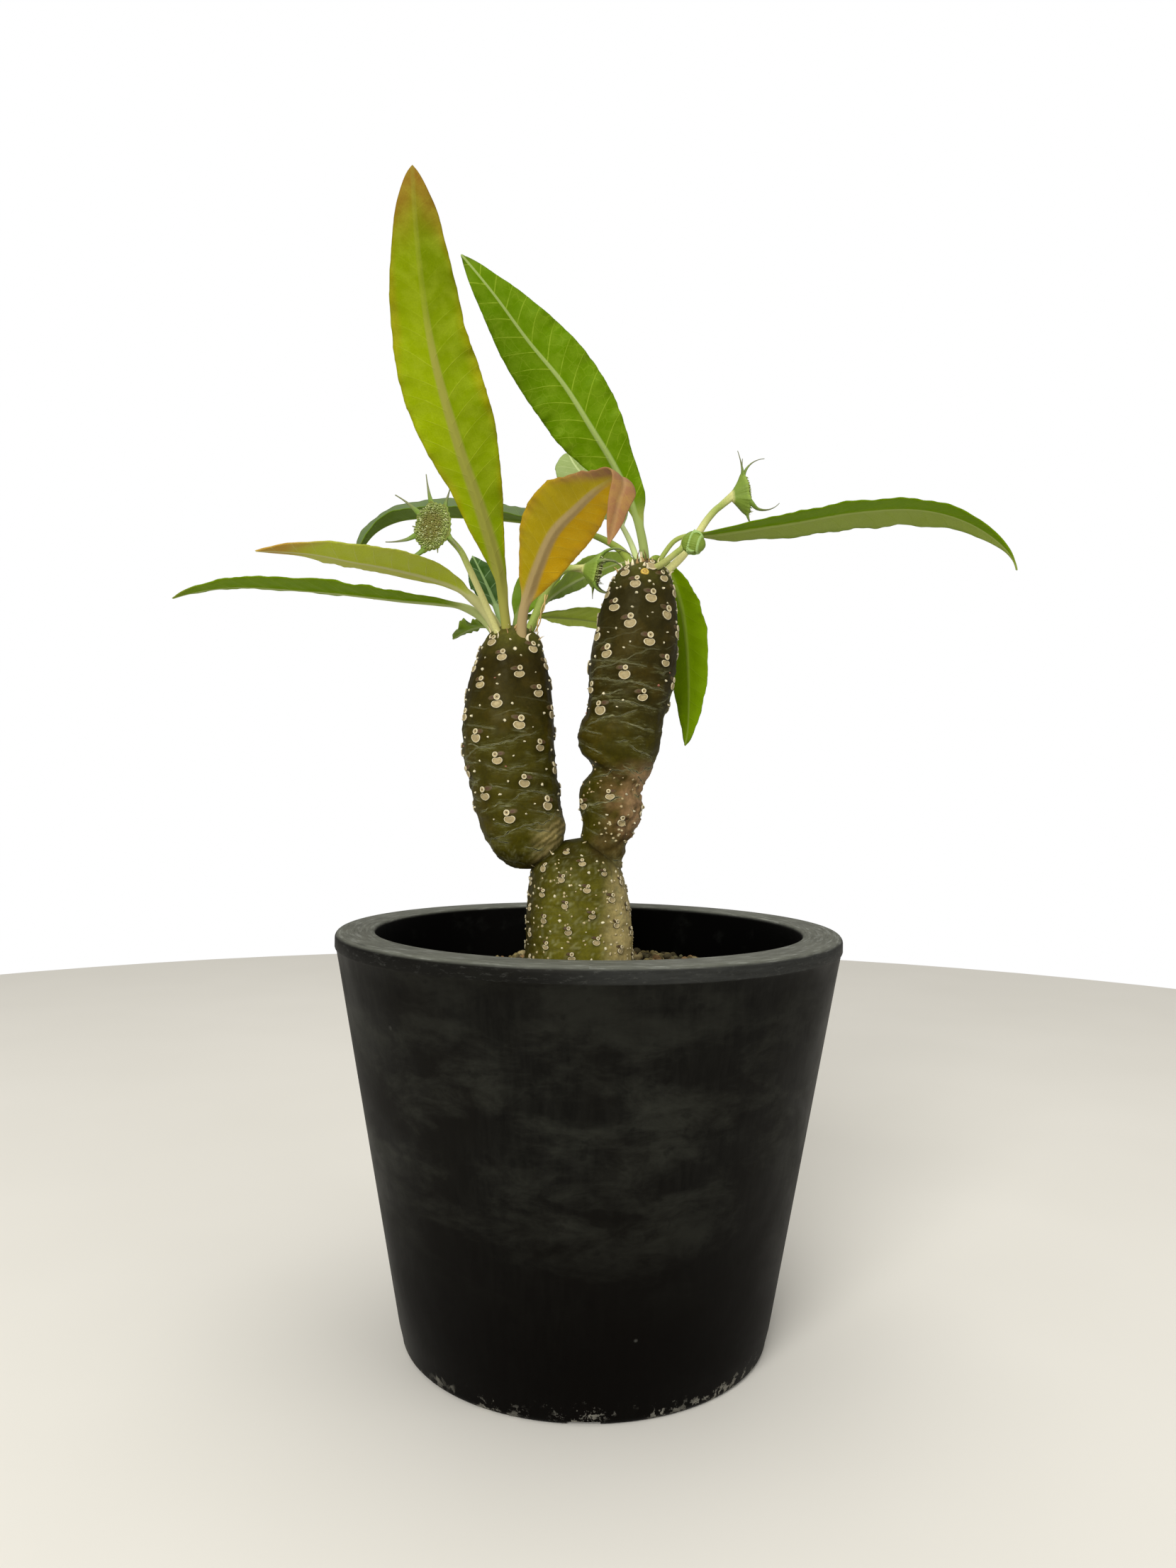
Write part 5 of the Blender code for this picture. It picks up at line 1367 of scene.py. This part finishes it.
def leaf_ring(spec, look, tones, place, right, up, along, run, shift):
    """One ring of a leaf with its marks and painted colours: across the top, then back underneath."""
    radius = spec["stalk_radius"] * (1 - 0.3 * min(max(along + 0.2, 0) * 2, 1))
    spread = blade_share(along, spec)
    half_width = max(spec["width"] * spread, radius if along < 0.5 else LEAST_HALF_WIDTH)
    ragged = 1 + 0.02 * noise.noise(Vector((run * 0.55, shift, 0)))
    half_width *= ragged + 0.012 * noise.noise(Vector((run * 1.7, shift, 4)))
    trim = np.array(spec["trim"], float)
    halves = [
        max(half_width + float(np.interp(along, trim[:, 0], trim[:, k])), LEAST_HALF_WIDTH) for k in (1, 2)]
    open_up = float(ease(along, 0, 0.12))
    rib = RIB_DEPTH * (1 - max(along, 0)) * open_up
    lift = math.tan(math.radians(spec["lift"]))
    even = np.linspace(-1, 1, LEAF_COLUMNS + 1)
    columns = np.sign(even) * np.abs(even) ** 1.25
    ring, marks, tints = [], [], []
    for side, column in [(1, column) for column in columns] + [(-1, column) for column in columns[::-1]]:
        turn = math.radians(90 - 72 * column)
        stalk_point = right * radius * math.cos(turn) + up * side * radius * 0.85 * math.sin(turn)
        uneven = noise.noise(Vector((along * 3.5, shift, math.copysign(2.0, column))))
        phase = math.tau * (spec["waves"] * along + 0.7 * uneven) + (0.9 if column > 0 else 3.6)
        wave = spec["wave"] * (0.75 + uneven) * column * column * math.sin(phase) * math.sqrt(spread)
        ripple = 0.3 * spec["wave"] * column**4 * math.sin(phase * 3.1 + shift) * spread
        half = halves[0] if column > 0 else halves[1]
        reach = column * half
        off = abs(reach)
        vein = (run - 0.95 * off + 0.035 * off * off) / VEIN_SPACING + (0.45 if column > 0 else 0.0)
        vein += 0.25 * noise.noise(Vector((run * 0.12, math.copysign(3.0, column), shift)))
        quilt = -spec["quilt"] * math.cos(math.tau * (vein - 0.5)) * min(off / 1.5, 1)
        quilt *= 1 - abs(column) ** 3
        thick = BLADE_THICKNESS + (EDGE_THICKNESS - BLADE_THICKNESS) * abs(column) ** 5
        height = abs(column) * half * lift + wave + ripple + quilt * spread + side * thick / 2
        if side < 0:
            height -= rib * math.exp(-((reach / 0.75) ** 2))
        else:
            height -= 0.2 * open_up * math.exp(-((reach / 0.6) ** 2))
        ring.append(place + stalk_point * (1 - open_up) + (right * reach + up * height) * open_up)
        beside = reach if open_up > 0.5 else reach * open_up * 2 + (1 - open_up * 2) * 0.3
        marks.append((beside, run + side * 30, along, vein, open_up))
        tints.append(leaf_tint(look, tones, column, along, side, open_up, run, shift))
    return ring, marks, tints


def leaf_tint(look, tones, column, along, side, open_up, run, shift):
    """The painted colour at one place of a leaf."""
    half = float(ease(column, -0.12, 0.12))
    near, far = ("top", "top_other") if side > 0 else ("under", "other")
    tint = tones[near] * half + tones[far] * (1 - half)
    ragged = 0.5 * noise.noise(Vector((column * 1.5, run * 0.09, shift + 7)))
    edging = look["edging"] * float(ease(abs(column) + ragged * 0.4, 0.74, 1.02))
    tint = tint * (1 - edging) + tones["edge"] * edging
    # Painted shade darkens the outer part of the blade
    tint = tint * (1 - look["painted_outer_shade"] * float(ease(along, 0.55, 0.85)))
    end = along + ragged * 0.06 + 0.04 * abs(column) + look["tip_lean"] * max(column, 0)
    tipping = float(ease(end, look["tip_from"], min(look["tip_from"] + 0.16, 1.04)))
    tint = tint * (1 - tipping) + tones["tip"] * tipping
    stalk = 1 - open_up
    return tint * (1 - stalk) + tones["stalk"] * stalk


class Head:
    """Where a flower head is, which way it faces, and its outline."""

    def __init__(self, spec):
        self.facing = unit(np.array(spec["facing"], float))
        self.up = unit(np.array([0, 0, 1.0]) - self.facing * self.facing[2])
        self.right = np.cross(self.up, self.facing)
        self.centre = np.array(spec["centre"], float)
        self.across, self.tall, self.arms = spec["across"], spec["up"], spec["arms"]
        self.size = (self.across + self.tall) / 2

    def way(self, angle):
        return self.right * math.cos(angle) + self.up * math.sin(angle)

    def edge(self, angle, share):
        """How far out a ring lies: an oval within, with small teeth and a pull to each arm at the edge."""
        oval = math.hypot(math.cos(angle) * self.across, math.sin(angle) * self.tall)
        teeth = 0.035 * oval * math.cos(26 * angle)
        pull = 0.0
        for turn, _, reach, _ in self.arms:
            apart = (angle - math.radians(turn) + math.pi) % math.tau - math.pi
            pull += 0.11 * min(reach, 8) * math.exp(-((apart / 0.20) ** 2))
        return share * (oval + (teeth + pull) * share**3)


def make_bloom(name, spec, material):
    """One flower head: stalk, cone, toothed rim, disc of florets, and its long arms."""
    spec = {**USUAL_BLOOM, **spec}
    draw = random.Random(name)
    tones = {part: display(*tone) for part, tone in BLOOM_TONES.items()}
    head = Head(spec)
    deep, folded = spec["deep"], spec["folded"]
    back = head.centre - head.facing * head.size * 0.55 * deep
    reach = 0.74 if deep > 1 else 0.82
    shares = [reach * k / HEAD_STALK_ROWS for k in range(HEAD_STALK_ROWS + 1)]
    places, ways, _ = smooth_curve([*spec["stalk"], back, head.centre], shares)
    angles = turns(HEAD_SIDES)
    rings, colours = [], []
    first = head.up - ways[0] * (head.up @ ways[0])
    for share, place, way in zip(shares, places, ways):
        first = unit(first - way * (first @ way))
        second = np.cross(first, way)
        radius = (0.85 - 0.2 * share) * spec["thick"] * (1 + 0.35 * float(ease(share, 0.06, 0.0)))
        rings.append([place + radius * (first * math.sin(a) + second * math.cos(a)) for a in angles])
        green = max(spec["greener"], 0.7 * float(ease(share, 0.45, 0.72)))
        colours += [blend(green, tones["stalk"], tones["cone"] * 1.25)] * HEAD_SIDES
    profile = FOLDED_PROFILE if folded else HEAD_PROFILE
    for depth, share, tone in profile:
        depth = depth * deep if depth < 0 else depth
        rings.append([
            head.centre + head.way(angle) * head.edge(angle, share) + head.facing * depth * head.size
            for angle in angles])
        colours += [tones[tone]] * HEAD_SIDES
    heap = Heap()
    top = head.centre + head.facing * (profile[-1][0] + 0.01) * head.size
    colours += [tones["stalk"], tones["cone" if folded else "disc"]]
    heap.add(*capped(rings, places[0], top), np.array(colours))
    if not folded:
        add_florets(heap, head, tones, spec["styles"], draw)
    for arm in spec["arms"]:
        ends = (tones["folded"], tones["folded"]) if folded else (tones["arm"], tones["tip"])
        add_arm(heap, head, arm, ends, draw)
    settle(heap.make(name + "_head", material, sharp=60), "bloom", name)


def add_florets(heap, head, tones, styles, draw):
    """Small domes in a golden spiral over the disc, some with a forked style."""
    often, shortest, longest = styles
    count = int(math.pi * head.across * head.tall * FLORETS_PER_MM2)
    for k in range(count):
        share = math.sqrt((k + 0.5) / count) * 0.97
        angle = k * GOLDEN_ANGLE
        x = share * math.cos(angle) * head.across + draw.uniform(-0.08, 0.08)
        y = share * math.sin(angle) * head.tall + draw.uniform(-0.08, 0.08)
        base = head.centre + head.right * x + head.up * y + head.facing * head.size * (0.16 - 0.05 * share)
        lean = head.facing + head.right * draw.uniform(-0.35, 0.35)
        lean = unit(lean + head.up * draw.uniform(-0.35, 0.35))
        side = unit(np.cross(lean, head.up))
        other = np.cross(lean, side)
        radius, height = draw.uniform(0.15, 0.27), draw.uniform(0.25, 0.6)
        rings = []
        for wide, high in ((1.0, -0.2), (1.0, 0.4), (0.7, 0.85)):
            ring = [side * math.cos(a) + other * math.sin(a) for a in turns(6)]
            rings.append([base + lean * height * high + radius * wide * out for out in ring])
        tone = blend(ease(share, 0.45, 0.85), tones["middle"], tones["floret"]) * draw.uniform(0.75, 1.12)
        if draw.random() < 0.12:
            tone = tones["pale"] * draw.uniform(0.7, 1.0)
        heap.add(*capped(rings, base - lean * height * 0.2, base + lean * height), tone)
        if draw.random() < often:
            reach = draw.uniform(shortest, longest)
            bend = side * draw.uniform(-0.5, 0.5) + other * draw.uniform(-0.5, 0.5)
            path = [
                base + lean * height * 0.8, base + lean * (height + reach * 0.5) + bend * 0.2,
                base + lean * (height + reach * 0.8) + bend * 0.8]
            heap.add_tube(path, (0.09, 0.08, 0.05), 5, 1.0, 0.05, tones["pale"] * draw.uniform(0.8, 1.05))


def add_arm(heap, head, arm, ends, draw):
    """One long tapering arm that grows from the head's edge, with a slightly crooked hair-thin tip."""
    angle, way_angle, length, lean = arm
    turn = math.radians(angle)
    radial, away = head.way(turn), head.way(math.radians(way_angle))
    edge = head.right * math.cos(turn) * head.across + head.up * math.sin(turn) * head.tall
    start = head.centre + edge * 0.72
    reach = length + np.linalg.norm(edge) * 0.28
    side = np.cross(head.facing, away)
    crook = draw.uniform(-0.35, 0.35)
    path, radii, colours = [], [], []
    for k in range(ARM_ROWS + 1):
        share = k / ARM_ROWS
        bend = math.radians(lean) * share
        out = unit(radial + (away - radial) * min(share * 2.5, 1))
        sway = side * crook * math.sin(share * math.pi) * share
        path.append(start + reach * share * (out * math.cos(bend) + head.facing * math.sin(bend)) + sway)
        radii.append(ARM_TIP_RADIUS + (ARM_RADIUS * 1.25 - ARM_TIP_RADIUS) * (1 - share) ** 1.9)
        colours += [blend(ease(share, 0.2, 0.7), *ends)] * ARM_SIDES
    heap.add_tube(path, radii, ARM_SIDES, 0.6, 0.2, np.array([*colours, *ends]), head.facing)


def make_crown_scales(skin):
    """Cream and tan pointed scales between the leaf stalks, a dried stub, and a dead twisted thread."""
    draw = random.Random(31)
    surface = surface_of(skin)
    heap = Heap()
    for centre, radius, count in CROWNS:
        for k in range(count):
            angle = math.tau * (k * SCALE_TURN + draw.uniform(-0.03, 0.03))
            reach = radius * draw.uniform(0.75, 1.25)
            above = np.array(centre) + (reach * math.sin(angle), -reach * math.cos(angle), SCALE_ABOVE)
            hit, normal, _, _ = surface.ray_cast(Vector(above * MM), Vector((0, 0, -1)), SCALE_DROP * MM)
            if hit is None:
                continue
            wobble = np.array([draw.uniform(-0.4, 0.4) for _ in range(3)])
            lean = unit(np.array(normal) + (0, 0, 1.3) + wobble)
            add_scale(heap, np.array(hit) / MM, lean, draw.uniform(1.0, 2.3), draw.uniform(0.32, 0.55), draw)
    add_stub(heap)
    add_thread(heap)
    dry = grainy_material(
        "dry_scale", 0.7, 0.25, scales=(1500, 1500, 400), share=0.4, tone=(86, 66, 40), bump=(0.3, 0.0001),
        high=0.7)
    settle(heap.make("crown_scales", dry), "stem")


def add_scale(heap, foot, lean, height, width, draw):
    """One pointed papery scale that curls over a little at its tip."""
    curl = np.array([draw.uniform(-0.8, 0.8), draw.uniform(-0.8, 0.8), -0.2])
    path = [foot - lean * 0.4, foot + lean * height * 0.5, foot + lean * height * 0.85 + curl * height * 0.5]
    radii = (width, width * 0.85, width * 0.5, width * 0.15)
    heap.add_tube(path, radii, 8, 0.5, 0.15, display(*draw.choice(SCALE_TINTS)))


def add_stub(heap):
    """The dried stub of a flower stalk in its split brown cup."""
    foot = np.array(STUB_FOOT)
    path = [foot, foot + (-0.1, -0.2, 2.0), foot + (-0.1, -0.3, 3.8)]
    heap.add_tube(path, (0.5, 0.52, 0.5, 0.34), 10, 0.8, 0.1, display(222, 212, 168))
    for side in (-1, 1):
        steps = ((side * 0.75, 0, -0.2), (side * 1.05, -0.2, 2.2), (side * 0.5, -0.2, 4.4))
        path = [foot + step for step in steps]
        heap.add_tube(path, (0.34, 0.32, 0.24, 0.08), 8, 0.6, 0.1, display(112, 88, 46))


def add_thread(heap):
    """Two strands that stand off the thread's middle and wind round each other."""
    shares = np.linspace(0, 1, THREAD_POINTS)
    places, _, _ = smooth_curve(THREAD, shares)
    for start in (0.0, math.pi):
        path = []
        for share, place in zip(shares, places):
            turn = start + share * THREAD_TURN
            path.append(place + STRAND_OFF * np.array([math.cos(turn), math.sin(turn), 0]))
        heap.add_tube(path, [STRAND_RADIUS] * STRAND_ROWS, 6, 1.0, 0.1, display(222, 190, 122))


def make_floor():
    """A plain pale round table top under the pot."""
    edge = [(math.cos(angle), math.sin(angle)) for angle in turns(FLOOR_SIDES)]
    rings = [[np.array([x * reach, y * reach, height]) for x, y in edge] for reach, height in (
        (FLOOR_REACH, -FLOOR_DEPTH), (FLOOR_REACH, -FLOOR_ROUND), (FLOOR_REACH - FLOOR_ROUND, 0.0),
        (FLOOR_REACH * 0.4, 0.0))]
    points, faces = capped(rings, np.array([0, 0, -FLOOR_DEPTH]), np.array([0, 0, 0.0]))
    graph = Graph("floor_paper", 0.9, 0.1)
    soft = graph.noise(graph.place(), 9.0, 2.0)
    graph.colour = graph.mix(soft, display(224, 222, 216), display(232, 230, 225))
    make_mesh("floor", points, faces, graph.finish(), sharp=40)


def add_light(name, place, size, power):
    """A large soft lamp that shines at the object."""
    data = bpy.data.lights.new(name, "AREA")
    data.size = size
    data.energy = power
    data.color = LAMP_COLOUR
    light = add_object(name, data)
    light.location = place
    light.rotation_mode = "QUATERNION"
    light.rotation_quaternion = (Vector(LAMP_TARGET) - Vector(place)).to_track_quat("-Z", "Y")


def make_light():
    """A white room behind the object, dimmer where it only lights it, and three large soft lamps."""
    world = bpy.data.worlds.new("studio")
    world.use_nodes = True
    tree = world.node_tree
    seen = tree.nodes["Background"]
    cast = tree.nodes.new("ShaderNodeBackground")
    shown = ((seen, (1.0, 1.0, 1.0, 1.0), 1.0), (cast, (1.0, 0.97, 0.90, 1.0), ROOM_LIGHT))
    for node, colour, strength in shown:
        node.inputs["Color"].default_value = colour
        node.inputs["Strength"].default_value = strength
    path = tree.nodes.new("ShaderNodeLightPath")
    mix = tree.nodes.new("ShaderNodeMixShader")
    tree.links.new(path.outputs["Is Camera Ray"], mix.inputs["Fac"])
    tree.links.new(cast.outputs["Background"], mix.inputs[1])
    tree.links.new(seen.outputs["Background"], mix.inputs[2])
    tree.links.new(mix.outputs["Shader"], tree.nodes["World Output"].inputs["Surface"])
    bpy.context.scene.world = world
    for lamp in LAMPS:
        add_light(*lamp)


def make_camera():
    """The photograph's camera."""
    data = bpy.data.cameras.new("photo_camera")
    data.sensor_width = SENSOR_WIDTH
    data.sensor_fit = "AUTO"
    data.lens = CAMERA_LENS
    data.clip_start, data.clip_end = CAMERA_CLIP
    camera = add_object("photo_camera", data)
    tilt, roll = math.radians(CAMERA_TILT), math.radians(CAMERA_ROLL)
    forward = Vector((0, math.cos(tilt), -math.sin(tilt)))
    level_up = Vector((0, math.sin(tilt), math.cos(tilt)))
    level_right = Vector((1, 0, 0))
    right = level_right * math.cos(roll) + level_up * math.sin(roll)
    up = level_up * math.cos(roll) - level_right * math.sin(roll)
    axes = Matrix((right, up, -forward)).transposed().to_4x4()
    camera.matrix_world = Matrix.Translation(Vector(CAMERA_PLACE) * MM) @ axes
    bpy.context.scene.camera = camera


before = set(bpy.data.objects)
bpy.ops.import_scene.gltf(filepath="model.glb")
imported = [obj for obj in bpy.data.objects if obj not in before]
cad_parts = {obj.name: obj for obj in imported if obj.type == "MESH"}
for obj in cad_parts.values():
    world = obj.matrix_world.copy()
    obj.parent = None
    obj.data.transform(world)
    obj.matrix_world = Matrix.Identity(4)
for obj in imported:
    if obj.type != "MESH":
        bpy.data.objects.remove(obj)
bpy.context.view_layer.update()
make_camera()
make_light()
make_floor()
make_pot()
make_grit()
stem_skin = make_stem()
make_scars(stem_skin)
make_crown_scales(stem_skin)
for leaf_name, leaf_spec in LEAVES.items():
    make_leaf(leaf_name, leaf_spec, LEAF_LOOKS[leaf_name])
head_skin = grainy_material(
    "bloom_skin", 0.6, 0.3, scales=(2400, 2400, 2400), share=0.16, tone=(50, 60, 14), bump=(0.3, 0.00012),
    detail=4.0, coarse=0.65)
for bloom_name, bloom_spec in BLOOMS.items():
    make_bloom(bloom_name, bloom_spec, head_skin)
bpy.context.scene.view_settings.view_transform = "Standard"
